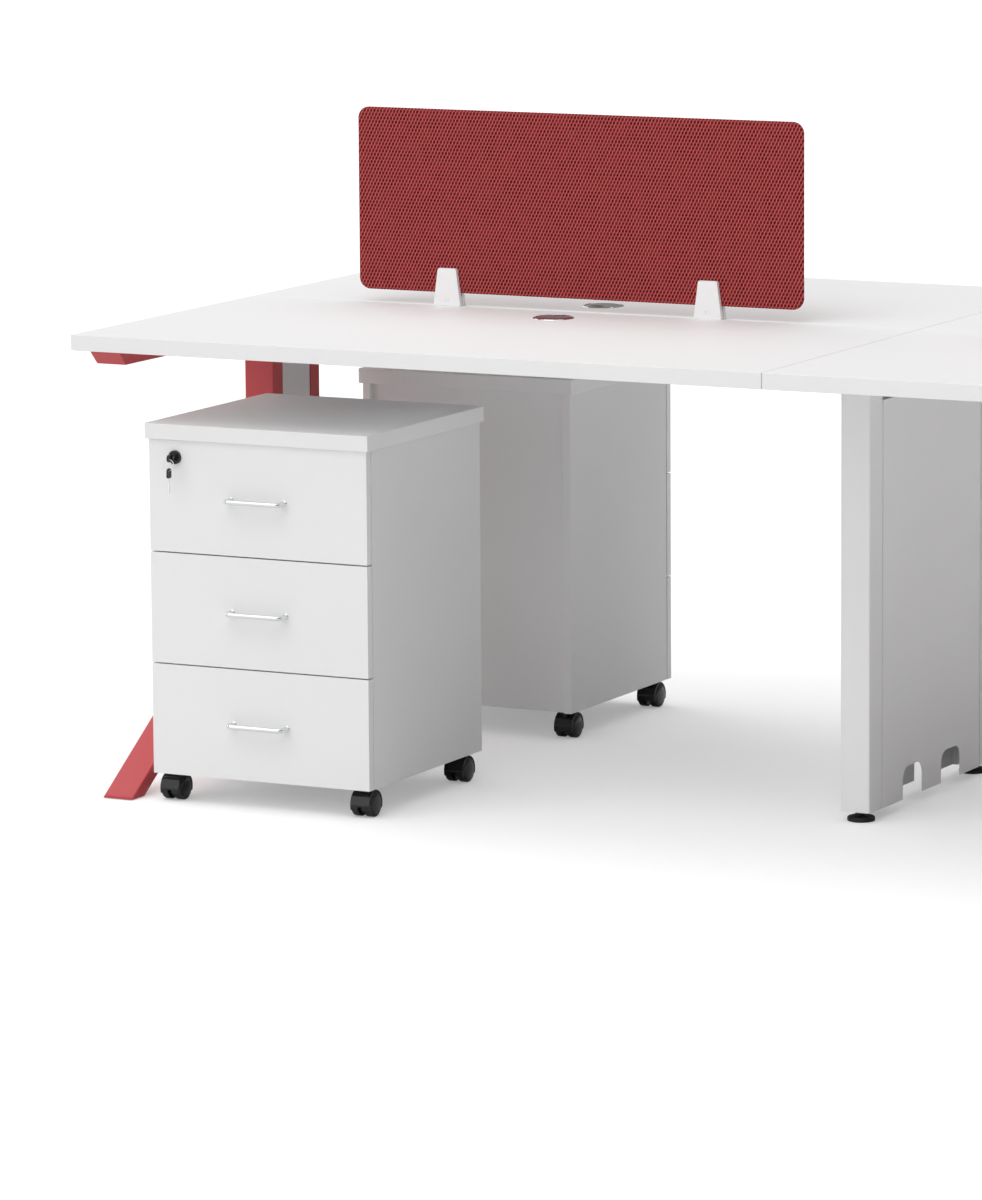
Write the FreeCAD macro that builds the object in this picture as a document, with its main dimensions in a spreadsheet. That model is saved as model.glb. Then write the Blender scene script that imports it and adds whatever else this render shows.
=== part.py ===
import FreeCAD, Part
import math
import os
import re
import Sketcher

# Cubicle workstation: two bays of back-to-back worktops on two end frames and a middle leg, a fabric
# screen on each bay, and two mobile pedestals with drawers.
# +X runs to the right along the rows, +Y from the front row to the back row, +Z up. The origin is on
# the floor under the point where the four worktops meet. Lengths in millimetres, angles in degrees.

SIZES = {
    # Worktops
    "bay_width": 1200,  # along the row, one bay
    "top_depth": 600,  # front edge to the seam between the rows
    "top_thickness": 25,
    "desk_height": 750,
    "seam_gap": 1,  # between neighbouring boards
    # Clearances that several pieces share
    "seat_gap": 0.3,  # between a piece and the seat that carries it loosely
    "running_gap": 0.05,  # radial, round every pin that turns
    # End frames: one section for the arm and the feet
    "frame_inset": 24,  # end of the worktops to the frame
    "bar_width": 54,
    "bar_depth": 24,
    "tube_wall": 2,
    "arm_inset": 15,  # front edge of the worktop to the arm's tip
    "column_depth": 160,
    "column_opening": 96,
    "column_tail": 6,  # how far the column goes below the feet
    "foot_angle": 33,
    "foot_inset": 34,  # front edge of the worktop to the foot's tip
    "pad_thickness": 4,
    "pad_width": 44,
    "pad_length": 40,
    # Cable cover in each column
    "cover_wall": 1.5,
    "cover_recess": 1,
    "cover_side_gap": 0.5,
    "cover_lap": 5,
    # Screws that hold the worktops down
    "screw_size": 5,
    "screw_head": 10,
    "screw_head_depth": 3,
    "screw_bite": 15,  # into the board
    "screw_hole_gap": 0.25,  # radial, in the arms
    "screw_near": 150,  # from the seam between the rows
    "screw_inset": 85,  # from the tip of the end frame's arm
    "leg_screw_inset": 60,  # from the end of the leg's arm
    "leg_screw_offset": 12.5,
    # Middle leg
    "post_size": 50,
    "leg_depth": 500,
    "leg_arm_length": 820,  # short enough to stay out of sight behind the front edge
    "post_floor_gap": 17,
    "post_end_wall": 4,
    "plate_wall": 1.5,
    "plate_recess": 1,
    "plate_floor_gap": 16,
    "plate_top_gap": 63,  # below the worktop
    "cutout_width": 78,
    "cutout_height": 51,
    "cutout_offset": 77,
    "cutout_corner": 20,
    "glide_size": 44,
    "glide_depth": 8,
    "glide_stem": 10,
    "glide_stem_bite": 3,  # above the post's end wall
    # Cross beams
    "beam_width": 25,
    "beam_height": 50,
    # Screens
    "screen_width": 800,
    "screen_height": 300,
    "screen_thickness": 6,
    "screen_lift": 21,
    "screen_corner": 19,
    # Screen clamps
    "clamp_offset": 235,  # from the middle of the bay
    "clamp_foot_width": 50,
    "clamp_head_width": 33,
    "clamp_height": 61.5,
    "clamp_thickness": 20,
    "clamp_slot_height": 15,  # above the worktop
    "clamp_screw_height": 10,
    "clamp_screw_size": 4,
    "clamp_dimple": 8.5,
    "clamp_dimple_depth": 1,
    "clamp_screw_rim_gap": 0.3,
    # Cable grommets
    "grommet_hole": 60,
    "grommet_setback": 92,
    "grommet_rim": 68,
    "grommet_rim_height": 3,
    "grommet_wall": 2,
    "grommet_length": 20,
    "grommet_ledge": 2,
    "grommet_cap_thickness": 3,
    "grommet_cap_proud": 1,
    "grommet_slot": 30,  # width of the cable opening in the cap
    "grommet_slot_depth": 12,
    # Places of the two pedestals
    "front_pedestal_from_end": 306,
    "front_pedestal_from_edge": 244,
    "rear_pedestal_from_end": 291,
    "rear_pedestal_from_edge": 207,
    # Pedestal cabinet
    "pedestal_width": 400,
    "pedestal_depth": 400,
    "pedestal_headroom": 115,  # pedestal top to the worktop's underside
    "cap_thickness": 25,
    "cap_overhang": 5,
    "board": 15,
    "back_board": 9,
    "back_recess": 9,
    # Drawers
    "front_gap": 2,
    "box_side_gap": 12.5,
    "box_back_gap": 12,
    "box_lift": 25,  # drawer front's lower edge to the box
    "box_headroom": 45,  # box to the drawer front's upper edge, and the gap above
    "box_board": 12,
    "box_bottom": 5,
    "box_bottom_lift": 2,
    # Runner rails
    "rail_wall": 1.5,
    "rail_height": 26,
    "rail_lap": 8,  # under the drawer box
    "rail_inset": 5,
    # Handles
    "handle_span": 96,
    "handle_reach": 25,
    "handle_rod": 8,
    "handle_bend": 9,
    # Lock
    "lock_from_edge": 48,
    "lock_drop": 27.5,  # below the top board
    "barrel_size": 18,
    "barrel_rim": 22,
    "barrel_rim_depth": 5,
    "barrel_tail": 3,
    "plug_size": 12,
    "plug_proud": 0.5,
    "cam_width": 10,
    "cam_thickness": 2,
    "cam_bite": 4.5,  # into the top board
    "cam_gap": 1,
    # Keys
    "bow_length": 16,
    "bow_height": 12,
    "bow_thickness": 3,
    "bow_corner": 3,
    "bow_gap": 4.5,  # plug to bow
    "bow_hole": 4,
    "bow_hole_inset": 5,
    "blade_length": 23,
    "blade_height": 5,
    "blade_thickness": 2,
    "keyway_gap": 0.1,
    "ring_radius": 9,
    "ring_wire": 1.2,
    # Castors
    "castor_height": 46,
    "castor_side_inset": 28,
    "castor_front_inset": 49,
    "castor_back_inset": 29,
    "castor_trail": 12,
    "castor_width": 40,
    "wheel_size": 40,
    "wheel_shoulder": 3,
    "wheel_shoulder_drop": 5,
    "hood_wall": 2.5,
    "hood_gap": 1,
    "hood_floor_gap": 12,
    "web_width": 8,
    "web_gap": 0.5,
    "axle_size": 5,
    "axle_cover": 2,
    "stem_size": 8,
    "stem_length": 12,
    "stem_collar": 16,
    "stem_collar_gap": 0.8,
    # One overrun serves every cut that leaves a solid
    "overrun": 1,
}

# Heights and places worked out from the sizes
UNDERSIDE = "(desk_height - top_thickness)"
ARM_BOTTOM = f"({UNDERSIDE} - bar_depth)"
COLUMN_FACE = "(column_depth / 2)"
FOOT_TIP = "(top_depth - foot_inset)"
FOOT_HEEL = f"({FOOT_TIP} - bar_depth / sin(foot_angle))"
FOOT_TOP_AT_COLUMN = f"(pad_thickness + ({FOOT_TIP} - {COLUMN_FACE}) * tan(foot_angle))"
FOOT_UNDER_AT_COLUMN = f"(pad_thickness + ({FOOT_HEEL} - {COLUMN_FACE}) * tan(foot_angle))"
COLUMN_BOTTOM = f"({FOOT_UNDER_AT_COLUMN} - column_tail)"
FRAME_X = "(bay_width - frame_inset - bar_width / 2)"
SCREW_FAR = "(top_depth - arm_inset - screw_inset)"
POST_Y = "(leg_depth / 2 - post_size / 2)"
LEG_SCREW_FAR = "(leg_arm_length / 2 - leg_screw_inset)"
PEDESTAL_HEIGHT = f"({UNDERSIDE} - pedestal_headroom)"
CAP_BOTTOM = f"({PEDESTAL_HEIGHT} - cap_thickness)"
BODY_X = "(pedestal_width / 2 - cap_overhang)"
BODY_Y = "(pedestal_depth / 2 - cap_overhang)"
DRAWER_PITCH = f"(({CAP_BOTTOM} - castor_height) / 3)"
LOCK_X = f"(-{BODY_X} + lock_from_edge)"
LOCK_Z = f"({CAP_BOTTOM} - lock_drop)"
CAM_LENGTH = "(lock_drop + cam_bite)"
BACK_FACE = "(pedestal_depth / 2 - cap_overhang - back_recess - back_board)"
BOX_BACK = f"({BACK_FACE} - box_back_gap)"
CABINET_FRONT = f"(-{BODY_Y} + board + seat_gap)"
DRAWER_NAMES = ("bottom", "middle", "top")

UP = FreeCAD.Vector(0, 0, 1)
SIDEWAYS = FreeCAD.Vector(1, 0, 0)
FORWARD = FreeCAD.Vector(0, 1, 0)
HALF_TURN = 180
QUARTER_TURN = 90

doc = FreeCAD.newDocument("CubicleWorkstation")
sheet = doc.addObject("Spreadsheet::Sheet", "Sizes")
for row, (size_name, size_value) in enumerate(SIZES.items(), start=1):
    sheet.set(f"A{row}", size_name)
    sheet.set(f"B{row}", str(size_value))
    sheet.setAlias(f"B{row}", size_name)
doc.recompute()

nodes = []


# Formulas and plain solids


def formula(text):
    """Point each size's name in a formula at its cell in the sheet."""
    return re.sub("[a-z_]+", lambda word: cell(word.group()), text)


def cell(word):
    return f"Sizes.{word}" if word in SIZES else word


def bind(item, rules):
    for name, text in rules.items():
        item.setExpression(name, formula(text))


def place(item, x="0", y="0", z="0", axis=UP, turn=0):
    """Stand an object at a place, turned about an axis through its own origin."""
    item.Placement = FreeCAD.Placement(FreeCAD.Vector(), FreeCAD.Rotation(axis, turn))
    bind(item, {"Placement.Base.x": x, "Placement.Base.y": y, "Placement.Base.z": z})
    return item


def block(name, corner, size):
    box = doc.addObject("Part::Box", name)
    bind(box, {"Length": size[0], "Width": size[1], "Height": size[2]})
    return place(box, *corner)


def upright_rod(name, foot, radius, height):
    rod = doc.addObject("Part::Cylinder", name)
    bind(rod, {"Radius": radius, "Height": height})
    return place(rod, *foot)


def rod_along_x(name, start, radius, length):
    rod = doc.addObject("Part::Cylinder", name)
    bind(rod, {"Radius": radius, "Height": length})
    return place(rod, *start, axis=FORWARD, turn=QUARTER_TURN)


def rod_along_y(name, start, radius, length):
    rod = doc.addObject("Part::Cylinder", name)
    bind(rod, {"Radius": radius, "Height": length})
    return place(rod, *start, axis=SIDEWAYS, turn=-QUARTER_TURN)


def join(name, items):
    whole = doc.addObject("Part::MultiFuse", name)
    whole.Shapes = items
    return whole


def group(name, items, x="0", y="0", z="0", axis=UP, turn=0):
    """Hold several solids together, each still a solid of its own, and place them."""
    held = doc.addObject("Part::Compound", name)
    held.Links = items
    return place(held, x, y, z, axis, turn)


def cut(name, base, tools):
    result = doc.addObject("Part::Cut", name)
    result.Base = base
    result.Tool = tools[0] if len(tools) == 1 else join(name + "_tools", tools)
    return result


def node(name, items, x="0", y="0", z="0", turn=0):
    """Make one named sub-part of the workstation from its solids."""
    held = group(name, items, x, y, z, turn=turn)
    held.Label = name
    nodes.append(held)
    return held


# Sketched bodies


def new_body(name):
    return doc.addObject("PartDesign::Body", name)


def draw(body, plane, level="0"):
    """Start a sketch on one of a body's own planes, lifted off it by a level."""
    sketch = body.newObject("Sketcher::SketchObject", body.Name + "_sketch")
    planes = {feature.Role: feature for feature in body.Origin.OriginFeatures}
    sketch.AttachmentSupport = [(planes[plane], "")]
    sketch.MapMode = "FlatFace"
    bind(sketch, {"AttachmentOffset.Base.z": level})
    return sketch


def pin_point(sketch, geometry, point, across, up):
    """Hold a point of a sketch at its distances from the sketch's origin."""
    for kind, text in (("DistanceX", across), ("DistanceY", up)):
        index = sketch.addConstraint(Sketcher.Constraint(kind, -1, 1, geometry, point, 1))
        sketch.setExpression(f"Constraints[{index}]", formula(text))


def outline(sketch, corners):
    """Draw a closed outline through its corners. They start on a circle, and their pins settle them."""
    first = sketch.GeometryCount
    count = len(corners)
    turns = [2 * math.pi * index / count for index in range(count)]
    starts = [FreeCAD.Vector(math.cos(turn), math.sin(turn), 0) for turn in turns]
    for index in range(count):
        sketch.addGeometry(Part.LineSegment(starts[index], starts[(index + 1) % count]), False)
    for index in range(count):
        following = first + (index + 1) % count
        sketch.addConstraint(Sketcher.Constraint("Coincident", first + index, 2, following, 1))
    for index, (across, up) in enumerate(corners):
        pin_point(sketch, first + index, 1, across, up)
    return sketch


def rectangle(sketch, left, low, right, high):
    return outline(sketch, [(left, low), (right, low), (right, high), (left, high)])


def circle(sketch, across, up, radius):
    index = sketch.addGeometry(Part.Circle(FreeCAD.Vector(), UP, 1), False)
    pin_point(sketch, index, 3, across, up)
    size = sketch.addConstraint(Sketcher.Constraint("Radius", index, 1))
    sketch.setExpression(f"Constraints[{size}]", formula(radius))
    return sketch


def feature(body, kind, sketch, length, both, back):
    made = body.newObject(f"PartDesign::{kind}", f"{body.Name}_{kind.lower()}")
    made.Profile = sketch
    made.SideType = "Symmetric" if both else "One side"
    made.Reversed = back
    bind(made, {"Length": length})
    return made


def pad(body, sketch, length, both=False, back=False):
    return feature(body, "Pad", sketch, length, both, back)


def pocket(body, sketch, length, both=False, back=False):
    """Cut a sketch out of a body, and make sure that something was cut."""
    doc.recompute()
    before = body.Shape.Volume
    made = feature(body, "Pocket", sketch, length, both, back)
    doc.recompute()
    if not body.Shape.Volume < before:
        raise RuntimeError(f"{made.Name} cut nothing")
    return made


def spin(body, sketch, axis):
    made = body.newObject("PartDesign::Revolution", body.Name + "_revolution")
    made.Profile = sketch
    made.ReferenceAxis = (sketch, [axis])
    return made


def round_edges(body, base, radius, wanted):
    """Round the edges of a feature that a test picks out."""
    doc.recompute()
    chosen = [f"Edge{index}" for index, edge in enumerate(base.Shape.Edges, start=1) if wanted(edge)]
    rounded = body.newObject("PartDesign::Fillet", body.Name + "_fillet")
    rounded.Base = (base, chosen)
    bind(rounded, {"Radius": radius})
    return rounded


def runs_along(edge, axis):
    """Tell whether an edge is straight and parallel to an axis."""
    if edge.Curve.TypeId != "Part::GeomLine":
        return False
    return abs(abs(edge.Curve.Direction.dot(axis)) - 1) < Part.Precision.confusion()


# Worktops


def screw_places(side):
    """The four screws of one front board, on the side of the desk that a sign names."""
    end_x = f"{side} * {FRAME_X}"
    leg_x = f"{side} * leg_screw_offset"
    return [
        (end_x, "-screw_near"),
        (end_x, f"-{SCREW_FAR}"),
        (leg_x, "-screw_near"),
        (leg_x, f"-{LEG_SCREW_FAR}"),
    ]


def worktop(name, side):
    """A front board with its cable hole and the pilot holes of its screws."""
    body = new_body(name)
    board = draw(body, "XY_Plane", UNDERSIDE)
    near_x = f"{side} * seam_gap / 2"
    far_x = f"{side} * bay_width"
    back_y = "-seam_gap / 2"
    outline(board, [(near_x, back_y), (near_x, "-top_depth"), (far_x, "-top_depth"), (far_x, back_y)])
    pad(body, board, "top_thickness")
    hole = draw(body, "XY_Plane", "desk_height")
    circle(hole, f"{side} * bay_width / 2", "-grommet_setback", "grommet_hole / 2")
    pocket(body, hole, "top_thickness")
    pilots = draw(body, "XY_Plane", UNDERSIDE)
    for across, up in screw_places(side):
        circle(pilots, across, up, "screw_size / 2")
    pocket(body, pilots, "screw_bite", back=True)
    return body


def worktop_screws():
    """Sixteen screws, up through the arms into the boards."""
    head_foot = ("0", "0", f"{ARM_BOTTOM} - screw_head_depth")
    head = upright_rod("screw_head_disc", head_foot, "screw_head / 2", "screw_head_depth")
    shank = upright_rod("screw_shank", ("0", "0", ARM_BOTTOM), "screw_size / 2", "bar_depth + screw_bite")
    screw = join("worktop_screw", [head, shank])
    places = screw_places("-1") + screw_places("1")
    front = [group(f"front_screw_{index}", [screw], x, y) for index, (x, y) in enumerate(places)]
    back = group("back_screws", front, turn=HALF_TURN)
    node("worktop_screws", front + [back])


left_front_board = worktop("left_front_board", "-1")
right_front_board = worktop("right_front_board", "1")
node("worktop_front_left", [left_front_board])
node("worktop_front_right", [right_front_board])
node("worktop_rear_right", [left_front_board], turn=HALF_TURN)
node("worktop_rear_left", [right_front_board], turn=HALF_TURN)
worktop_screws()


# End frames, drawn with the column at the origin and its open side towards +X


def frame_arm():
    """The hollow arm under both worktops, its tips cut back at 45 degrees."""
    body = new_body("frame_arm")
    tip = "(top_depth - arm_inset)"
    skin = draw(body, "YZ_Plane")
    lower_tip = f"({tip} - bar_depth)"
    outline(
        skin,
        [
            (f"-{tip}", UNDERSIDE),
            (f"-{lower_tip}", ARM_BOTTOM),
            (lower_tip, ARM_BOTTOM),
            (tip, UNDERSIDE),
        ],
    )
    pad(body, skin, "bar_width", both=True)
    hollow = draw(body, "YZ_Plane")
    inner_tip = f"({tip} - tube_wall - tube_wall * sqrt(2))"
    inner_lower_tip = f"({lower_tip} + tube_wall - tube_wall * sqrt(2))"
    ceiling = f"{UNDERSIDE} - tube_wall"
    floor = f"{ARM_BOTTOM} + tube_wall"
    outline(
        hollow,
        [
            (f"-{inner_tip}", ceiling),
            (f"-{inner_lower_tip}", floor),
            (inner_lower_tip, floor),
            (inner_tip, ceiling),
        ],
    )
    pocket(body, hollow, "bar_width - 2 * tube_wall", both=True)
    holes = draw(body, "XY_Plane", UNDERSIDE)
    for row in (f"-{SCREW_FAR}", "-screw_near", "screw_near", SCREW_FAR):
        circle(holes, "0", row, "screw_size / 2 + screw_hole_gap")
    pocket(body, holes, "bar_depth")
    return body


def frame_column():
    """The upright: a channel whose open side takes the cable cover."""
    body = new_body("frame_column")
    out = "(bar_width / 2)"
    deep = COLUMN_FACE
    lip = "(column_opening / 2)"
    inner_out = f"({out} - tube_wall)"
    inner_deep = f"({deep} - tube_wall)"
    section = draw(body, "XY_Plane", COLUMN_BOTTOM)
    outline(
        section,
        [
            (f"-{out}", f"-{deep}"),
            (out, f"-{deep}"),
            (out, f"-{lip}"),
            (inner_out, f"-{lip}"),
            (inner_out, f"-{inner_deep}"),
            (f"-{inner_out}", f"-{inner_deep}"),
            (f"-{inner_out}", inner_deep),
            (inner_out, inner_deep),
            (inner_out, lip),
            (out, lip),
            (out, deep),
            (f"-{out}", deep),
        ],
    )
    pad(body, section, f"{ARM_BOTTOM} - {COLUMN_BOTTOM}")
    return body


def frame_foot():
    """The front foot: a hollow bar down to the floor pad, open where it meets the column."""
    body = new_body("frame_foot")
    skin = draw(body, "YZ_Plane")
    outline(
        skin,
        [
            (f"-{FOOT_TIP}", "pad_thickness"),
            (f"-{FOOT_HEEL}", "pad_thickness"),
            (f"-{COLUMN_FACE}", FOOT_UNDER_AT_COLUMN),
            (f"-{COLUMN_FACE}", FOOT_TOP_AT_COLUMN),
        ],
    )
    pad(body, skin, "bar_width", both=True)
    upright_wall = "(tube_wall / cos(foot_angle))"
    sole = "(pad_thickness + tube_wall)"
    inner_tip = f"({FOOT_TIP} - (tube_wall + {upright_wall}) / tan(foot_angle))"
    inner_heel = f"({FOOT_HEEL} - (tube_wall - {upright_wall}) / tan(foot_angle))"
    hollow = draw(body, "YZ_Plane")
    outline(
        hollow,
        [
            (f"-{inner_tip}", sole),
            (f"-{inner_heel}", sole),
            (f"-{COLUMN_FACE}", f"{FOOT_UNDER_AT_COLUMN} + {upright_wall}"),
            (f"-{COLUMN_FACE}", f"{FOOT_TOP_AT_COLUMN} - {upright_wall}"),
        ],
    )
    pocket(body, hollow, "bar_width - 2 * tube_wall", both=True)
    return body


def cable_cover():
    """The cover in the column's open side, held behind its lips."""
    body = new_body("cable_cover")
    face = "(bar_width / 2 - cover_recess)"
    step = "(bar_width / 2 - tube_wall - seat_gap)"
    back = f"({step} - cover_wall)"
    half = "(column_opening / 2 - cover_side_gap)"
    lap = "(column_opening / 2 + cover_lap)"
    section = draw(body, "XY_Plane", COLUMN_BOTTOM)
    outline(
        section,
        [
            (back, f"-{lap}"),
            (step, f"-{lap}"),
            (step, f"-{half}"),
            (face, f"-{half}"),
            (face, half),
            (step, half),
            (step, lap),
            (back, lap),
        ],
    )
    pad(body, section, f"{ARM_BOTTOM} - {COLUMN_BOTTOM} - seat_gap")
    return body


arm = frame_arm()
column = frame_column()
front_foot = frame_foot()
rear_foot = group("rear_foot", [front_foot], turn=HALF_TURN)
cover = cable_cover()
pad_middle = f"(({FOOT_TIP} + {FOOT_HEEL}) / 2)"
foot_pad = block(
    "foot_pad",
    ("-pad_width / 2", f"-{pad_middle} - pad_length / 2", "0"),
    ("pad_width", "pad_length", "pad_thickness"),
)
rear_pad = group("rear_pad", [foot_pad], turn=HALF_TURN)

end_frame = [arm, column, front_foot, rear_foot]
node("left_end_frame", end_frame, x=f"-{FRAME_X}")
node("right_end_frame", end_frame, x=FRAME_X, turn=HALF_TURN)
left_cover = group("left_cover", [cover], x=f"-{FRAME_X}")
right_cover = group("right_cover", [cover], x=FRAME_X, turn=HALF_TURN)
node("column_cable_covers", [left_cover, right_cover])
left_pads = group("left_pads", [foot_pad, rear_pad], x=f"-{FRAME_X}")
right_pads = group("right_pads", [foot_pad, rear_pad], x=FRAME_X)
node("floor_pads", [left_pads, right_pads])


# Middle leg


def leg_post():
    """A square post, open at the top under the arm, with an end wall that the glide screws into."""
    body = new_body("leg_post")
    half = "(post_size / 2)"
    inner = f"({half} - tube_wall)"
    height = f"({ARM_BOTTOM} - post_floor_gap)"
    foot = draw(body, "XY_Plane", "post_floor_gap")
    rectangle(foot, f"-{half}", f"-{half}", half, half)
    pad(body, foot, height)
    hollow = draw(body, "XY_Plane", ARM_BOTTOM)
    rectangle(hollow, f"-{inner}", f"-{inner}", inner, inner)
    pocket(body, hollow, f"{height} - post_end_wall")
    thread = draw(body, "XY_Plane", "post_floor_gap")
    circle(thread, "0", "0", "glide_stem / 2")
    pocket(body, thread, "post_end_wall", back=True)
    return body


def leg_arm():
    """The tube along the top of the posts, which carries the worktops on both sides of the seam."""
    length = "leg_arm_length"
    tube = block(
        "leg_arm_tube",
        ("-post_size / 2", f"-{length} / 2", ARM_BOTTOM),
        ("post_size", length, "bar_depth"),
    )
    bore = block(
        "leg_arm_bore",
        ("-post_size / 2 + tube_wall", f"-{length} / 2 - overrun", f"{ARM_BOTTOM} + tube_wall"),
        ("post_size - 2 * tube_wall", f"{length} + 2 * overrun", "bar_depth - 2 * tube_wall"),
    )
    holes = []
    for x in ("-leg_screw_offset", "leg_screw_offset"):
        for y in (f"-{LEG_SCREW_FAR}", "-screw_near", "screw_near", LEG_SCREW_FAR):
            foot = (x, y, f"{ARM_BOTTOM} - overrun")
            name = f"leg_arm_hole_{len(holes)}"
            radius = "screw_size / 2 + screw_hole_gap"
            holes.append(upright_rod(name, foot, radius, "bar_depth + 2 * overrun"))
    return cut("leg_arm", tube, [bore] + holes)


def leg_side_plate():
    """The +X plate between the posts, with two round-cornered cable cutouts at the floor."""
    body = new_body("leg_side_plate")
    half = "(leg_depth / 2 - post_size)"
    inside = "post_size / 2 - plate_recess - plate_wall"
    top = f"({UNDERSIDE} - plate_top_gap)"
    sheet_outline = draw(body, "YZ_Plane", inside)
    rectangle(sheet_outline, f"-{half}", "plate_floor_gap", half, top)
    pad(body, sheet_outline, "plate_wall")
    cutouts = draw(body, "YZ_Plane", inside)
    arch = "(plate_floor_gap + cutout_height)"
    for middle in ("-cutout_offset", "cutout_offset"):
        left = f"{middle} - cutout_width / 2"
        right = f"{middle} + cutout_width / 2"
        rectangle(cutouts, left, "plate_floor_gap", right, arch)
    opened = pocket(body, cutouts, "plate_wall", back=True)
    arch_height = SIZES["plate_floor_gap"] + SIZES["cutout_height"]
    round_edges(body, opened, "cutout_corner", lambda edge: is_arch_corner(edge, arch_height))
    return body


def is_arch_corner(edge, height):
    """Tell whether an edge is one of the four short ones across the plate, at the top of a cutout."""
    return runs_along(edge, SIDEWAYS) and abs(edge.CenterOfMass.z - height) < Part.Precision.confusion()


def glide():
    """A levelling foot: a round disc and the stem that screws into the post."""
    disc = upright_rod("glide_disc", ("0", "0", "0"), "glide_size / 2", "glide_depth")
    stem_height = "post_floor_gap + post_end_wall + glide_stem_bite - glide_depth"
    stem = upright_rod("glide_stem_rod", ("0", "0", "glide_depth"), "glide_stem / 2", stem_height)
    return join("glide", [disc, stem])


post = leg_post()
front_post = group("front_post", [post], y=f"-{POST_Y}")
rear_post = group("rear_post", [post], y=POST_Y)
node("middle_leg_frame", [leg_arm(), front_post, rear_post])
right_plate = leg_side_plate()
left_plate = group("left_plate", [right_plate], turn=HALF_TURN)
node("middle_leg_side_plates", [right_plate, left_plate])
levelling_foot = glide()
front_glide = group("front_glide", [levelling_foot], y=f"-{POST_Y}")
rear_glide = group("rear_glide", [levelling_foot], y=POST_Y)
node("levelling_glides", [front_glide, rear_glide])


# Cross beams, from the middle leg to each end frame


def cross_beam():
    length = "(bay_width - frame_inset - bar_width - post_size / 2)"
    tube = block(
        "beam_tube",
        ("post_size / 2", "-beam_width / 2", f"{UNDERSIDE} - beam_height"),
        (length, "beam_width", "beam_height"),
    )
    bore = block(
        "beam_bore",
        (
            "post_size / 2 - overrun",
            "-beam_width / 2 + tube_wall",
            f"{UNDERSIDE} - beam_height + tube_wall",
        ),
        (f"{length} + 2 * overrun", "beam_width - 2 * tube_wall", "beam_height - 2 * tube_wall"),
    )
    return cut("cross_beam", tube, [bore])


beam = cross_beam()
right_front_beam = group("right_front_beam", [beam], y=f"-{POST_Y}")
right_rear_beam = group("right_rear_beam", [beam], y=POST_Y)
left_beams = group("left_beams", [right_front_beam, right_rear_beam], turn=HALF_TURN)
node("cross_beams", [right_front_beam, right_rear_beam, left_beams])


# Screens and their clamps


def screen():
    """One fabric-covered board, standing over the seam between the rows."""
    body = new_body("screen")
    low = "(desk_height + screen_lift)"
    board = draw(body, "XZ_Plane")
    rectangle(board, "-screen_width / 2", low, "screen_width / 2", f"{low} + screen_height")
    slab = pad(body, board, "screen_thickness", both=True)
    round_edges(body, slab, "screen_corner", lambda edge: runs_along(edge, FORWARD))
    return body


def clamp_half():
    """The front half of a clamp. Its back is cut away above the slot's floor, where the screen goes."""
    body = new_body("clamp_half")
    foot = "(clamp_foot_width / 2)"
    head = "(clamp_head_width / 2)"
    top = "(desk_height + clamp_height)"
    face = draw(body, "XZ_Plane")
    outline(face, [(f"-{foot}", "desk_height"), (foot, "desk_height"), (head, top), (f"-{head}", top)])
    pad(body, face, "clamp_thickness / 2")
    slot = draw(body, "XZ_Plane")
    rectangle(slot, f"-{foot}", "desk_height + clamp_slot_height", foot, f"{top} + overrun")
    pocket(body, slot, "screen_thickness / 2", back=True)
    screw_z = "desk_height + clamp_screw_height"
    hole = draw(body, "XZ_Plane")
    circle(hole, "0", screw_z, "clamp_screw_size / 2")
    pocket(body, hole, "clamp_thickness / 2", back=True)
    dimple = draw(body, "XZ_Plane", "clamp_thickness / 2")
    circle(dimple, "0", screw_z, "clamp_dimple / 2")
    pocket(body, dimple, "clamp_dimple_depth")
    return body


def clamp_screw():
    """The bolt through both halves, with a low head in each dimple."""
    half = "(clamp_thickness / 2 - clamp_dimple_depth)"
    height = "desk_height + clamp_screw_height"
    head_radius = "clamp_dimple / 2 - clamp_screw_rim_gap"
    head_depth = "clamp_dimple_depth / 2"
    shank = rod_along_y("clamp_shank", ("0", f"-{half}", height), "clamp_screw_size / 2", f"2 * {half}")
    head_start = ("0", f"-{half} - {head_depth}", height)
    front = rod_along_y("clamp_front_head", head_start, head_radius, head_depth)
    back = rod_along_y("clamp_back_head", ("0", half, height), head_radius, head_depth)
    return join("clamp_screw", [shank, front, back])


fabric_screen = screen()
node("left_screen", [fabric_screen], x="-bay_width / 2")
node("right_screen", [fabric_screen], x="bay_width / 2")
front_half = clamp_half()
back_half = group("back_half", [front_half], turn=HALF_TURN)
bolt = clamp_screw()
bay_middles = [f"{side} * bay_width / 2" for side in ("-1", "1")]
clamp_places = [f"{middle} + {side} * clamp_offset" for middle in bay_middles for side in ("-1", "1")]
clamps = [group(f"clamp_{index}", [front_half, back_half], x=x) for index, x in enumerate(clamp_places)]
bolts = [group(f"clamp_bolt_{index}", [bolt], x=x) for index, x in enumerate(clamp_places)]
node("screen_clamps", clamps)
node("screen_clamp_screws", bolts)


# Cable grommets


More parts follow.
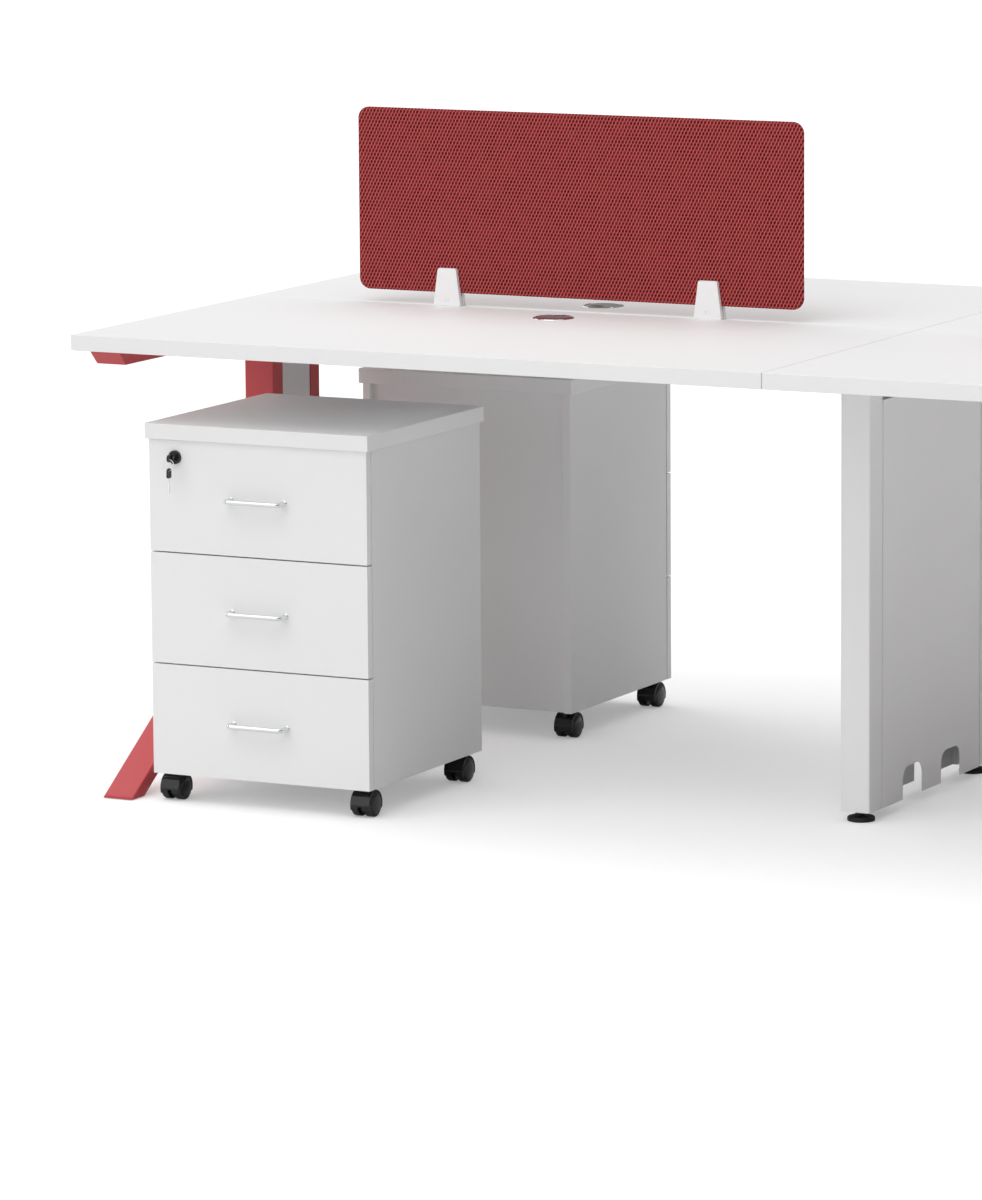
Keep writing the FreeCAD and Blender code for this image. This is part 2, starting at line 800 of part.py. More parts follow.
def grommet_ring():
    """The liner in the worktop's hole: a rim on top, a wall and a ledge under the cap."""
    body = new_body("grommet_ring")
    wall_out = "(grommet_hole / 2)"
    wall_in = f"({wall_out} - grommet_wall)"
    ledge_top = "(grommet_cap_proud - grommet_cap_thickness)"
    profile = draw(body, "XZ_Plane")
    outline(
        profile,
        [
            (wall_in, "grommet_rim_height"),
            (f"{wall_in} + grommet_wall", "grommet_rim_height"),
            ("grommet_rim / 2", "0"),
            (wall_out, "0"),
            (wall_out, "-grommet_length"),
            (wall_in, "-grommet_length"),
            (wall_in, f"{ledge_top} - grommet_ledge"),
            (f"{wall_in} - grommet_ledge", f"{ledge_top} - grommet_ledge"),
            (f"{wall_in} - grommet_ledge", ledge_top),
            (wall_in, ledge_top),
        ],
    )
    spin(body, profile, "V_Axis")
    return body


def grommet_cap():
    """The cap on the ledge, with a round-ended bite towards +Y for the cables."""
    body = new_body("grommet_cap")
    reach = "(grommet_hole / 2 - grommet_wall - seat_gap)"
    disc = draw(body, "XY_Plane", "grommet_cap_proud - grommet_cap_thickness")
    circle(disc, "0", "0", reach)
    pad(body, disc, "grommet_cap_thickness")
    bite = draw(body, "XY_Plane", "grommet_cap_proud")
    circle(bite, "0", f"{reach} - grommet_slot_depth + grommet_slot / 2", "grommet_slot / 2")
    pocket(body, bite, "grommet_cap_thickness")
    return body


ring = grommet_ring()
cap = grommet_cap()
front_grommets = [
    group("front_grommet", [ring, cap], x=middle, y="-grommet_setback", z="desk_height")
    for middle in bay_middles
]
rear_grommets = group("rear_grommets", front_grommets, turn=HALF_TURN)
node("cable_grommets", front_grommets + [rear_grommets])


# Pedestal pieces, drawn with the pedestal's middle at the origin and its drawers towards -Y


def pedestal_top():
    """The top board, with the slot in its underside that the lock's cam turns up into."""
    slab = block(
        "cap_slab",
        ("-pedestal_width / 2", "-pedestal_depth / 2", CAP_BOTTOM),
        ("pedestal_width", "pedestal_depth", "cap_thickness"),
    )
    entry = f"sqrt(pow({CAM_LENGTH}; 2) + pow(cam_width / 2; 2) - pow(lock_drop; 2))"
    slot = block(
        "cam_slot",
        (
            f"{LOCK_X} - cam_width / 2 - cam_gap",
            f"-{BODY_Y} + board + box_board + barrel_tail - cam_gap",
            f"{CAP_BOTTOM} - overrun",
        ),
        (
            f"cam_width / 2 + 2 * cam_gap + {entry}",
            "cam_thickness + 2 * cam_gap",
            "cam_bite + cam_gap + overrun",
        ),
    )
    return cut("pedestal_cap", slab, [slot])


def pedestal_side():
    """The +X side panel."""
    return block(
        "side_panel",
        (f"{BODY_X} - board", CABINET_FRONT, "castor_height"),
        ("board", f"{BODY_Y} - {CABINET_FRONT}", f"{CAP_BOTTOM} - castor_height"),
    )


def pedestal_back():
    """The back panel, set in between the sides."""
    return block(
        "back_panel",
        (f"-{BODY_X} + board", BACK_FACE, "castor_height"),
        (f"2 * {BODY_X} - 2 * board", "back_board", f"{CAP_BOTTOM} - castor_height"),
    )


def castor_places():
    """Each castor's name, and the place of its stem."""
    side = "(pedestal_width / 2 - castor_side_inset)"
    front = "(-pedestal_depth / 2 + castor_front_inset)"
    back = "(pedestal_depth / 2 - castor_back_inset)"
    return [
        ("front_left", f"-{side}", front),
        ("front_right", side, front),
        ("back_left", f"-{side}", back),
        ("back_right", side, back),
    ]


def pedestal_base():
    """The base board, with a socket for each castor's stem."""
    slab = block(
        "base_slab",
        (f"-{BODY_X} + board", CABINET_FRONT, "castor_height"),
        (f"2 * {BODY_X} - 2 * board", f"{BACK_FACE} - {CABINET_FRONT}", "board"),
    )
    sockets = [
        upright_rod(
            f"socket_{name}",
            (x, y, "castor_height - overrun"),
            "stem_size / 2 + running_gap",
            "stem_length + overrun",
        )
        for name, x, y in castor_places()
    ]
    return cut("base_board", slab, sockets)


def runner_rail(name, side):
    """A rail of the lowest drawer: an angle on the side panel, its shelf under the box's side."""
    body = new_body(name)
    wall = f"{side} * ({BODY_X} - board)"
    upright = f"{side} * ({BODY_X} - board - rail_wall)"
    reach = f"{side} * ({BODY_X} - board - box_side_gap - rail_lap)"
    shelf_top = "(castor_height + box_lift - seat_gap)"
    shelf_low = f"({shelf_top} - rail_wall)"
    rail_top = f"({shelf_low} + rail_height)"
    section = draw(body, "XZ_Plane", f"{BODY_Y} - board - rail_inset")
    outline(
        section,
        [
            (wall, shelf_low),
            (reach, shelf_low),
            (reach, shelf_top),
            (upright, shelf_top),
            (upright, rail_top),
            (wall, rail_top),
        ],
    )
    pad(body, section, f"{BOX_BACK} + {BODY_Y} - board - rail_inset", back=True)
    return body


def drawer_box():
    """The five boards of the lowest drawer's box, each a solid of its own."""
    out = f"({BODY_X} - board - box_side_gap)"
    inner = f"({out} - box_board)"
    front = f"(-{BODY_Y} + board)"
    low = "(castor_height + box_lift)"
    height = f"({DRAWER_PITCH} - box_lift - box_headroom)"
    length = f"({BOX_BACK} - {front})"
    floor = f"({low} + box_bottom_lift)"
    side_size = ("box_board", length, height)
    across = f"2 * {inner}"
    return [
        block("box_left", (f"-{out}", front, low), side_size),
        block("box_right", (inner, front, low), side_size),
        block("box_front", (f"-{inner}", front, low), (across, "box_board", height)),
        block("box_back", (f"-{inner}", f"{BOX_BACK} - box_board", low), (across, "box_board", height)),
        block(
            "box_floor",
            (f"-{inner}", f"{front} + box_board", floor),
            (across, f"{length} - 2 * box_board", "box_bottom"),
        ),
    ]


def drawer_front(name):
    return block(
        name,
        (f"-{BODY_X}", f"-{BODY_Y}", "castor_height"),
        (f"2 * {BODY_X}", "board", f"{DRAWER_PITCH} - front_gap"),
    )


def lockable_front():
    """The top drawer's front, drawn at the lowest level, with the bore for the lock's barrel."""
    level_z = f"{LOCK_Z} - 2 * {DRAWER_PITCH}"
    bore = rod_along_y(
        "barrel_hole",
        (LOCK_X, f"-{BODY_Y} - overrun", level_z),
        "barrel_size / 2",
        "board + 2 * overrun",
    )
    return cut("lockable_front", drawer_front("lockable_slab"), [bore])


def handle():
    """A bow handle on the lowest drawer: two short legs, two quarter bends and a straight grip."""
    height = f"(castor_height + ({DRAWER_PITCH} - front_gap) / 2)"
    rod = "handle_rod / 2"
    leg_x = "(handle_span / 2)"
    grip_y = f"(-{BODY_Y} - handle_reach + handle_rod / 2)"
    leg_length = "handle_reach - handle_rod / 2 - handle_bend"
    pieces = [
        rod_along_x(
            "grip",
            (f"-{leg_x} + handle_bend", grip_y, height),
            rod,
            f"2 * ({leg_x} - handle_bend)",
        )
    ]
    bend_y = f"{grip_y} + handle_bend"
    for name, side, start_angle in (("left", "-1", HALF_TURN), ("right", "1", HALF_TURN + QUARTER_TURN)):
        pieces.append(rod_along_y(f"{name}_leg", (f"{side} * {leg_x}", bend_y, height), rod, leg_length))
        bend = doc.addObject("Part::Torus", f"{name}_bend")
        bind(bend, {"Radius1": "handle_bend", "Radius2": rod})
        bend.Angle3 = QUARTER_TURN
        place(bend, f"{side} * ({leg_x} - handle_bend)", bend_y, height, turn=start_angle)
        pieces.append(bend)
    return join("bow_handle", pieces)


# Lock and keys, drawn with the lock's axis along Y through the origin and the drawer's face at Y = 0


def lock_barrel():
    """The fixed barrel with its rim. The plug turns in its bore."""
    length = "board + box_board + barrel_tail / 2"
    body = rod_along_y("barrel_body", ("0", "0", "0"), "barrel_size / 2", length)
    rim_start = ("0", "-barrel_rim_depth", "0")
    rim = rod_along_y("barrel_rim_disc", rim_start, "barrel_rim / 2", "barrel_rim_depth")
    bore = rod_along_y(
        "barrel_bore",
        ("0", "-barrel_rim_depth - overrun", "0"),
        "plug_size / 2 + running_gap",
        f"barrel_rim_depth + {length} + 2 * overrun",
    )
    return cut("lock_barrel", join("barrel_solid", [body, rim]), [bore])


def lock_plug():
    """The turning plug with its keyway, and the cam at its back, which points along +X when unlocked."""
    front = "(-barrel_rim_depth - plug_proud)"
    length = f"(board + box_board + barrel_tail - {front})"
    stem = rod_along_y("plug_stem", ("0", front, "0"), "plug_size / 2", length)
    cam = block(
        "cam",
        ("-cam_width / 2", "board + box_board + barrel_tail", "-cam_width / 2"),
        (f"cam_width / 2 + {CAM_LENGTH}", "cam_thickness", "cam_width"),
    )
    keyway = block(
        "keyway",
        ("-blade_thickness / 2 - keyway_gap", f"{front} - overrun", "-blade_height / 2 - keyway_gap"),
        (
            "blade_thickness + 2 * keyway_gap",
            "blade_length - bow_gap + keyway_gap + overrun",
            "blade_height + 2 * keyway_gap",
        ),
    )
    return cut("lock_plug", join("plug_solid", [stem, cam]), [keyway])


def key():
    """A key along Y, its bow upright and outside, its blade in the plug."""
    body = new_body("key")
    bow_back = "(-barrel_rim_depth - plug_proud - bow_gap)"
    bow_front = f"({bow_back} - bow_length)"
    bow = draw(body, "YZ_Plane")
    rectangle(bow, bow_front, "-bow_height / 2", bow_back, "bow_height / 2")
    plate = pad(body, bow, "bow_thickness", both=True)
    round_edges(body, plate, "bow_corner", lambda edge: runs_along(edge, SIDEWAYS))
    blade = draw(body, "YZ_Plane")
    rectangle(blade, f"{bow_back}", "-blade_height / 2", f"{bow_back} + blade_length", "blade_height / 2")
    pad(body, blade, "blade_thickness", both=True)
    eye = draw(body, "YZ_Plane")
    circle(eye, f"{bow_front} + bow_hole_inset", "0", "bow_hole / 2")
    pocket(body, eye, "bow_thickness", both=True)
    return body


def key_set():
    """The key in the lock, the ring through its eye and the spare key that hangs on the ring."""
    first_key = key()
    eye_y = "(-barrel_rim_depth - plug_proud - bow_gap - bow_length + bow_hole_inset)"
    slack = "(bow_hole / 2 - ring_wire / 2 - seat_gap)"
    wire = doc.addObject("Part::Torus", "key_ring")
    bind(wire, {"Radius1": "ring_radius", "Radius2": "ring_wire / 2"})
    place(wire, "0", eye_y, f"-{slack} - ring_radius", axis=SIDEWAYS, turn=QUARTER_TURN)
    spare = group(
        "spare_key",
        [first_key],
        y=eye_y,
        z=f"-2 * {slack} - 2 * ring_radius + {eye_y}",
        axis=SIDEWAYS,
        turn=-QUARTER_TURN,
    )
    return [first_key, wire, spare]


# Castors, drawn with the stem's axis at the origin and the wheels towards -Y


def castor_fork():
    """The hood over both wheels, the web between them and the stem that swivels in the base board."""
    axle = ("-castor_trail", "wheel_size / 2")
    hood_half = "(castor_width / 2 - wheel_shoulder)"
    inner = "(wheel_size / 2 + hood_gap)"
    outer = f"({inner} + hood_wall)"
    skin = rod_along_x("hood_skin", (f"-{hood_half}", *axle), outer, f"2 * {hood_half}")
    hollow_start = (f"-{hood_half} - overrun", *axle)
    hollow = rod_along_x("hood_hollow", hollow_start, inner, f"2 * {hood_half} + 2 * overrun")
    shell = cut("hood_shell", skin, [hollow])
    web = rod_along_x("web_disc", ("-web_width / 2", *axle), f"{inner} + hood_wall / 2", "web_width")
    collar_top = "(castor_height - stem_collar_gap)"
    neck_height = f"{collar_top} - wheel_size / 2"
    neck = upright_rod("stem_neck", ("0", "0", "wheel_size / 2"), "web_width / 2", neck_height)
    flange_foot = ("0", "0", f"{collar_top} - hood_wall")
    flange = upright_rod("stem_flange", flange_foot, "stem_collar / 2", "hood_wall")
    stem_height = "stem_collar_gap + stem_length - seat_gap"
    stem = upright_rod("stem_rod", ("0", "0", collar_top), "stem_size / 2", stem_height)
    solid = join("fork_solid", [shell, web, neck, flange, stem])
    bore_start = ("-castor_width / 2", *axle)
    bore = rod_along_x("axle_bore", bore_start, "axle_size / 2 + running_gap", "castor_width")
    below = block(
        "fork_below_cut",
        ("-castor_width / 2", f"-castor_trail - {outer} - overrun", f"wheel_size / 2 - {outer} - overrun"),
        (
            "castor_width",
            f"2 * {outer} + 2 * overrun",
            f"{outer} + overrun - wheel_size / 2 + hood_floor_gap",
        ),
    )
    return cut("castor_fork", solid, [bore, below])


def castor_wheel():
    """The +X wheel: a round tread, a sloped shoulder and a blind bore for the axle."""
    body = new_body("castor_wheel")
    inside = "(web_width / 2 + web_gap)"
    outside = "(castor_width / 2)"
    tread = "(wheel_size / 2)"
    bore_end = f"({outside} - axle_cover)"
    profile = draw(body, "XY_Plane")
    outline(
        profile,
        [
            (inside, "axle_size / 2"),
            (inside, tread),
            (f"{outside} - wheel_shoulder", tread),
            (outside, f"{tread} - wheel_shoulder_drop"),
            (outside, "0"),
            (bore_end, "0"),
            (bore_end, "axle_size / 2"),
        ],
    )
    spin(body, profile, "H_Axis")
    return body


def castor_wheels():
    wheel = castor_wheel()
    wheel_place = {"y": "-castor_trail", "z": "wheel_size / 2"}
    right = group("right_wheel", [wheel], **wheel_place)
    left = group("left_wheel", [wheel], turn=HALF_TURN, **wheel_place)
    reach = "(castor_width / 2 - axle_cover)"
    axle_start = (f"-{reach}", "-castor_trail", "wheel_size / 2")
    axle = rod_along_x("axle", axle_start, "axle_size / 2", f"2 * {reach}")
    return [right, left, axle]


# The pedestals


def at_level(name, items, level):
    """Raise pieces that are drawn at the lowest drawer to a drawer's own level."""
    return group(name, items, z=f"{level} * {DRAWER_PITCH}")


cap_board = pedestal_top()
right_side = pedestal_side()
left_side = group("left_side_panel", [right_side], x=f"-2 * {BODY_X} + board")
back_panel = pedestal_back()
base_board = pedestal_base()
lowest_rails = [runner_rail("right_rail", "1"), runner_rail("left_rail", "-1")]
rails = [at_level(f"{name}_rails", lowest_rails, level) for level, name in enumerate(DRAWER_NAMES)]
box_boards = drawer_box()
plain_front = drawer_front("plain_front")
bored_front = lockable_front()
bow_handle = handle()
barrel = lock_barrel()
turning_lock = [lock_plug()] + key_set()
fork = castor_fork()
wheels = castor_wheels()


def pedestal(prefix, middle_x, middle_y, turn, merged):
    """Make one pedestal's nodes. A merged one keeps whole cabinets and drawers in single nodes."""

    def own(name, items):
        return node(f"{prefix}_{name}", items, middle_x, middle_y, turn=turn)

    cabinet = {
        "top": [cap_board],
        "sides": [right_side, left_side],
        "back": [back_panel],
        "base": [base_board],
    }
    if merged:
        own("cabinet", [piece for pieces in cabinet.values() for piece in pieces])
    else:
        for name, pieces in cabinet.items():
            own(name, pieces)
    own("drawer_runners", rails)
    for level, name in enumerate(DRAWER_NAMES):
        facing = bored_front if name == "top" else plain_front
        front = at_level(f"{name}_front", [facing], level)
        box = at_level(f"{name}_box", box_boards, level)
        if merged:
            own(f"{name}_drawer", [front, box])
        else:
            own(f"{name}_drawer_front", [front])
            own(f"{name}_drawer_box", [box])
        own(f"{name}_drawer_handle", [at_level(f"{name}_handle", [bow_handle], level)])
    lock_place = {"x": LOCK_X, "y": f"-{BODY_Y}", "z": LOCK_Z}
    own("lock", [group("placed_barrel", [barrel], **lock_place)])
    own("keys", [group("placed_keys", turning_lock, **lock_place)])
    for name, x, y in castor_places():
        own(f"{name}_castor_fork", [group("placed_fork", [fork], x, y)])
        own(f"{name}_castor_wheels", [group("placed_wheels", wheels, x, y)])


pedestal(
    "front_pedestal",
    "-bay_width + front_pedestal_from_end",
    "-top_depth + front_pedestal_from_edge",
    turn=0,
    merged=False,
)
pedestal(
    "rear_pedestal",
    "-bay_width + rear_pedestal_from_end",
    "top_depth - rear_pedestal_from_edge",
    turn=HALF_TURN,
    merged=True,
)


# Check every object, then write every node

doc.recompute()
for item in doc.Objects:
    if "Invalid" in item.State or "Error" in item.State:
        raise RuntimeError(f"{item.Name} failed: {item.State}")
for item in nodes:
    if item.Shape.isNull() or not item.Shape.isValid():
        raise RuntimeError(f"{item.Label} has no valid shape")
os.makedirs("parts", exist_ok=True)
for item in nodes:
    item.Shape.exportStep(f"parts/{item.Label}.step")
print(f"{len(nodes)} nodes, {sum(len(item.Shape.Solids) for item in nodes)} solids")
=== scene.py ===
# %% [markdown]
# # A bench workstation with fabric screens and two mobile pedestals
# Four white worktops stand back to back on red steel end frames and a white middle leg. Low red
# screens are clamped on the seam between the rows, and two drawer pedestals roll on castors. The
# engineering model comes in first as a fixed frame. Each piece that shows is then modelled again
# with the roundings, folds, bands and threads that a maker's drawing leaves out.

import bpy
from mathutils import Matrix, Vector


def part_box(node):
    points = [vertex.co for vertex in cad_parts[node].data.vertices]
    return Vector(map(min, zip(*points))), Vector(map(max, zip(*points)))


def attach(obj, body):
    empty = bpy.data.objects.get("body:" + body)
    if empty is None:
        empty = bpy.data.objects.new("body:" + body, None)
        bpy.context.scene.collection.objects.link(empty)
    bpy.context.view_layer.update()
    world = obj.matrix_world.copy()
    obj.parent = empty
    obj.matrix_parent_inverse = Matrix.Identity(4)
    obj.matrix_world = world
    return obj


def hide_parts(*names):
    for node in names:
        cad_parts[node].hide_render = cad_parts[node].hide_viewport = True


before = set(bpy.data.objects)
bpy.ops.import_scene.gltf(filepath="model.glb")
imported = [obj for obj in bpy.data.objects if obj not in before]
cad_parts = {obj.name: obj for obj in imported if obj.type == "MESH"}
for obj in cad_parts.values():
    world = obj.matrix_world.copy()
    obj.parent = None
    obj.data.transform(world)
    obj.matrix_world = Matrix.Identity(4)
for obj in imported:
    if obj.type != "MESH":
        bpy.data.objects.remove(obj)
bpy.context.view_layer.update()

# %% [markdown]
# ## The camera
# The photograph was taken from the right of the desk, high up and far away with a long lens, so
# its lines hardly converge. The camera below stands where the picture's edges put the
# photographer. It is turned onto the desk instead of shifted, so that other views stay true too.

# %% Stand the camera where the photographer stood
import math

import bmesh
import bpy
from mathutils import Matrix, Vector

CAMERA_PLACE = (4.013, -9.383, 1.969)
CAMERA_TURN = math.radians(26.976)
CAMERA_TILT = math.radians(-9.189)
CAMERA_ROLL = math.radians(-0.409)
PHOTO_HEIGHT = 1200
FOCAL_PIXELS = 6485.8
SENSOR = 36

lens = bpy.data.cameras.new("photo_camera")
lens.sensor_width = SENSOR
lens.lens = FOCAL_PIXELS * SENSOR / PHOTO_HEIGHT
camera = bpy.data.objects.new("photo_camera", lens)
bpy.context.scene.collection.objects.link(camera)
camera.matrix_world = (
    Matrix.Translation(CAMERA_PLACE)
    @ Matrix.Rotation(CAMERA_TURN, 4, "Z")
    @ Matrix.Rotation(math.radians(90) + CAMERA_TILT, 4, "X")
    @ Matrix.Rotation(CAMERA_ROLL, 4, "Z")
)
bpy.context.scene.camera = camera
print("camera:", round(lens.lens, 1), "mm lens")

# %% [markdown]
# ## Tools of the workshop
# Every piece starts as one of Blender's primitives, added at its size and place. Its faces and
# edges are then chosen by where they are and shaped in edit mode. These few helpers hold the
# steps that each piece repeats: select one object, choose parts of it, and put it away finished.

# %% Select, add and settle
MM = 0.001
X, Y, Z = 0, 1, 2


def only(piece):
    """Select one object and make it the active one."""
    if bpy.context.object and bpy.context.object.mode != "OBJECT":
        bpy.ops.object.mode_set(mode="OBJECT")
    bpy.ops.object.select_all(action="DESELECT")
    piece.select_set(True)
    bpy.context.view_layer.objects.active = piece


def settle(piece, name):
    """Name a piece and move its place into its mesh, so that its object sits at the origin."""
    only(piece)
    bpy.ops.object.transform_apply(location=True, rotation=True, scale=True)
    piece.name = name
    piece.data.name = name
    return piece


def block(name, low, high):
    """A box between two corners, in metres."""
    bpy.ops.object.select_all(action="DESELECT")
    middle = [(a + b) / 2 for a, b in zip(low, high)]
    bpy.ops.mesh.primitive_cube_add(size=1, location=middle)
    piece = bpy.context.object
    piece.scale = [b - a for a, b in zip(low, high)]
    return settle(piece, name)


def rod(name, start, axis, radius, length, sides=32):
    """A round bar from a start along an axis."""
    bpy.ops.object.select_all(action="DESELECT")
    middle = list(start)
    middle[axis] += length / 2
    turns = {X: (0, math.radians(90), 0), Y: (math.radians(-90), 0, 0), Z: (0, 0, 0)}
    bpy.ops.mesh.primitive_cylinder_add(
        vertices=sides, radius=radius, depth=length, location=middle, rotation=turns[axis]
    )
    return settle(bpy.context.object, name)


# %% [markdown]
# Choosing comes next. A test says which faces, edges or corners are wanted, the same way that a
# modeller would click them, and an edit-mode operator then works on what is selected.

# %% Choose parts and round edges
def choose(piece, kind, wanted):
    """Select in edit mode the faces, edges or corners of a piece that pass a test."""
    only(piece)
    bpy.ops.object.mode_set(mode="EDIT")
    bpy.ops.mesh.select_mode(type=kind)
    bpy.ops.mesh.select_all(action="DESELECT")
    mesh = bmesh.from_edit_mesh(piece.data)
    for part in {"VERT": mesh.verts, "EDGE": mesh.edges, "FACE": mesh.faces}[kind]:
        if wanted(part):
            part.select_set(True)
    mesh.select_flush_mode()
    bmesh.update_edit_mesh(piece.data)


def centre(part):
    return sum((corner.co for corner in part.verts), Vector()) / len(part.verts)


def runs(edge, axis):
    """Tell whether an edge runs along an axis."""
    line = edge.verts[1].co - edge.verts[0].co
    return abs(line[axis]) > 0.999 * line.length


def faces(part, axis, side):
    """Tell whether a face looks along an axis, to one side of it."""
    return part.normal[axis] * side > 0.999


def back_to_object():
    bpy.ops.object.mode_set(mode="OBJECT")


def extrude(move):
    """Pull out a copy of what is selected, and keep it joined to where it came from."""
    bpy.ops.mesh.extrude_region_move(TRANSFORM_OT_translate={"value": move})


def close_outwards():
    """Turn all faces of the shell outwards and leave edit mode."""
    bpy.ops.mesh.select_all(action="SELECT")
    bpy.ops.mesh.normals_make_consistent(inside=False)
    back_to_object()


def round_edges(piece, wanted, radius, steps):
    """Bevel the edges that pass a test."""
    choose(piece, "EDGE", wanted)
    bpy.ops.mesh.bevel(offset=radius, segments=steps, affect="EDGES")
    back_to_object()


def smooth(piece, angle=35):
    """Shade a piece smooth, apart from sharp edges, and keep its large flat faces flat."""
    only(piece)
    bpy.ops.object.shade_smooth_by_angle(angle=math.radians(angle))
    flat_faces = piece.modifiers.new("flat_faces", "WEIGHTED_NORMAL")
    flat_faces.keep_sharp = True
    bpy.ops.object.modifier_apply(modifier=flat_faces.name)


# %% [markdown]
# Holes are cut with a Boolean modifier, loose shells are joined, and what repeats is modelled
# once and copied with a mesh of its own. The last helper hangs each finished piece on the body
# that carries it and hides the engineering parts that it stands for.

# %% Cut, join, copy and put away
def cut_out(piece, tool):
    """Take a tool's shape out of a piece."""
    only(piece)
    cutter = piece.modifiers.new("cut", "BOOLEAN")
    cutter.object = tool
    cutter.solver = "EXACT"
    bpy.ops.object.modifier_apply(modifier=cutter.name)
    bpy.data.objects.remove(tool)


def join(name, pieces):
    only(pieces[0])
    for piece in pieces[1:]:
        piece.select_set(True)
    bpy.ops.object.join()
    return settle(pieces[0], name)


def placed(piece, name, x=0, y=0, z=0, turn=0):
    """Copy a piece with its own mesh, turned about the upright axis and moved to its place."""
    copy = piece.copy()
    copy.data = piece.data.copy()
    bpy.context.scene.collection.objects.link(copy)
    copy.data.transform(Matrix.Translation((x, y, z)) @ Matrix.Rotation(turn, 4, "Z"))
    copy.name = name
    copy.data.name = name
    return copy


def discard(*pieces):
    for piece in pieces:
        bpy.data.objects.remove(piece)


def put_away(piece, body, slot, *nodes):
    """Hang a finished piece on what it rides on and hide the nodes it stands for. The slot is not
    used.
    """
    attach(piece, body)
    if nodes:
        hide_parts(*nodes)
    print("made", piece.name, len(piece.data.polygons), "faces")


# %% [markdown]
# ## Finishes
# Every finish is a set of shader nodes: a base colour that varies a little, a roughness that is
# never quite even, and a bump from the way the surface was made. Colours are written as they are
# seen on a screen and turned to linear light by one function. One other function adds a node.

# %% Colours and nodes
def colour(code):
    """An sRGB colour written as RRGGBB, turned to linear light."""
    channels = [int(code[start : start + 2], 16) / 255 for start in (0, 2, 4)]
    linear = [c / 12.92 if c <= 0.04045 else ((c + 0.055) / 1.055) ** 2.4 for c in channels]
    return (*linear, 1)


def add(tree, kind, inputs, **settings):
    """Add a shader node. An input is given a value, or another node's output."""
    node = tree.nodes.new("ShaderNode" + kind)
    for name, value in settings.items():
        setattr(node, name, value)
    for name, value in inputs.items():
        if isinstance(value, bpy.types.NodeSocket):
            tree.links.new(value, node.inputs[name])
        else:
            node.inputs[name].default_value = value
    return node


def new_material(name):
    """An empty material with the piece's own coordinates to start from."""
    material = bpy.data.materials.new(name)
    material.use_nodes = True
    tree = material.node_tree
    tree.nodes.clear()
    place = add(tree, "TexCoord", {}).outputs["Object"]
    return material, tree, place


def mixed(mix):
    """The colour of a Mix node, which has an output for each kind of value."""
    return [output for output in mix.outputs if output.type == "RGBA"][0]


def close_material(tree, surface):
    add(tree, "OutputMaterial", {"Surface": surface})


# %% [markdown]
# Most finishes of this desk are a smooth base with a fine grain: pearl-textured melamine, orange
# peel in powder coat, the matt skin of moulded plastic. They differ in colour, grain size, depth
# and gloss, so one recipe makes them all: a noise at the grain's real size drives the bump, and
# a slow cloud moves colour and roughness by a few hundredths, as handling and dust do.

# %% A recipe for grained finishes
CLOUD_SIZE = 180 * MM


def grained(name, base, shade, grain, depth, rough, spread, metallic=0.0, specular=0.5):
    """A finish with a fine grain. Grain and depth are in millimetres."""
    material, tree, place = new_material(name)
    cloud = add(
        tree, "TexNoise", {"Vector": place, "Scale": 1 / CLOUD_SIZE, "Detail": 3.0}
    ).outputs["Fac"]
    fine = add(
        tree, "TexNoise", {"Vector": place, "Scale": 1 / (grain * MM), "Detail": 2.0}
    ).outputs["Fac"]
    tint = add(
        tree, "Mix", {"Factor": cloud, "A": colour(base), "B": colour(shade)}, data_type="RGBA",
    )
    gloss = add(
        tree, "MapRange",
        {"Value": cloud, "From Min": 0.3, "From Max": 0.7,
         "To Min": rough, "To Max": rough + spread},
    ).outputs["Result"]
    bump = add(
        tree, "Bump", {"Height": fine, "Distance": depth * MM, "Strength": 1.0}
    ).outputs["Normal"]
    inputs = {"Base Color": mixed(tint), "Roughness": gloss, "Normal": bump, "Metallic": metallic}
    if not metallic:
        inputs["IOR"] = 1.5
        inputs["Specular IOR Level"] = specular
    shader = add(tree, "BsdfPrincipled", inputs)
    close_material(tree, shader.outputs["BSDF"])
    return material


# %% [markdown]
# Melamine-faced chipboard is paper soaked in resin and pressed against a pearl-textured steel
# sheet. The eye sees an even white with a dull sheen, and the pearls break up most of what it
# mirrors. They are under half a millimetre, too fine for a picture of the whole desk, so they are
# drawn at 1.5 mm. The ABS edge band is the same white, extruded smooth. The clamps are moulded in
# a brighter, glossier white.

# %% Whites
melamine = grained("pearl_melamine_white", "EEEEEE", "EBEBEB", 1.5, 0.01, 0.52, 0.06, specular=0.15)
edge_band = grained("abs_edge_band_white", "EDEDED", "EAEAEA", 4.0, 0.004, 0.36, 0.06)
white_coat = grained("powder_coat_white", "F0F0F0", "EDEDED", 1.8, 0.025, 0.38, 0.08)
white_plastic = grained("moulded_plastic_white", "F6F6F6", "F3F3F3", 3.0, 0.006, 0.3, 0.06)

# %% [markdown]
# Powder coat is dry paint powder baked onto steel. As it melts it draws into a fine orange peel,
# about 2 mm from crest to crest, which breaks highlights up softly. The frames are a muted red.

# %% Red powder coat
red_coat = grained("powder_coat_red", "BE4045", "B83D42", 2.0, 0.03, 0.42, 0.08)

# %% [markdown]
# The small parts are a silver-grey extruded cover, whose metallic pigment gives it a soft sheen,
# black rubber pads, glossy black nylon for the castors, matt black for the glides, zinc-plated
# steel for screws and rails, bright chrome for the handles, nickel silver for the keys, and satin
# nickel, which mirrors the screen softly, for the caps of the grommets.

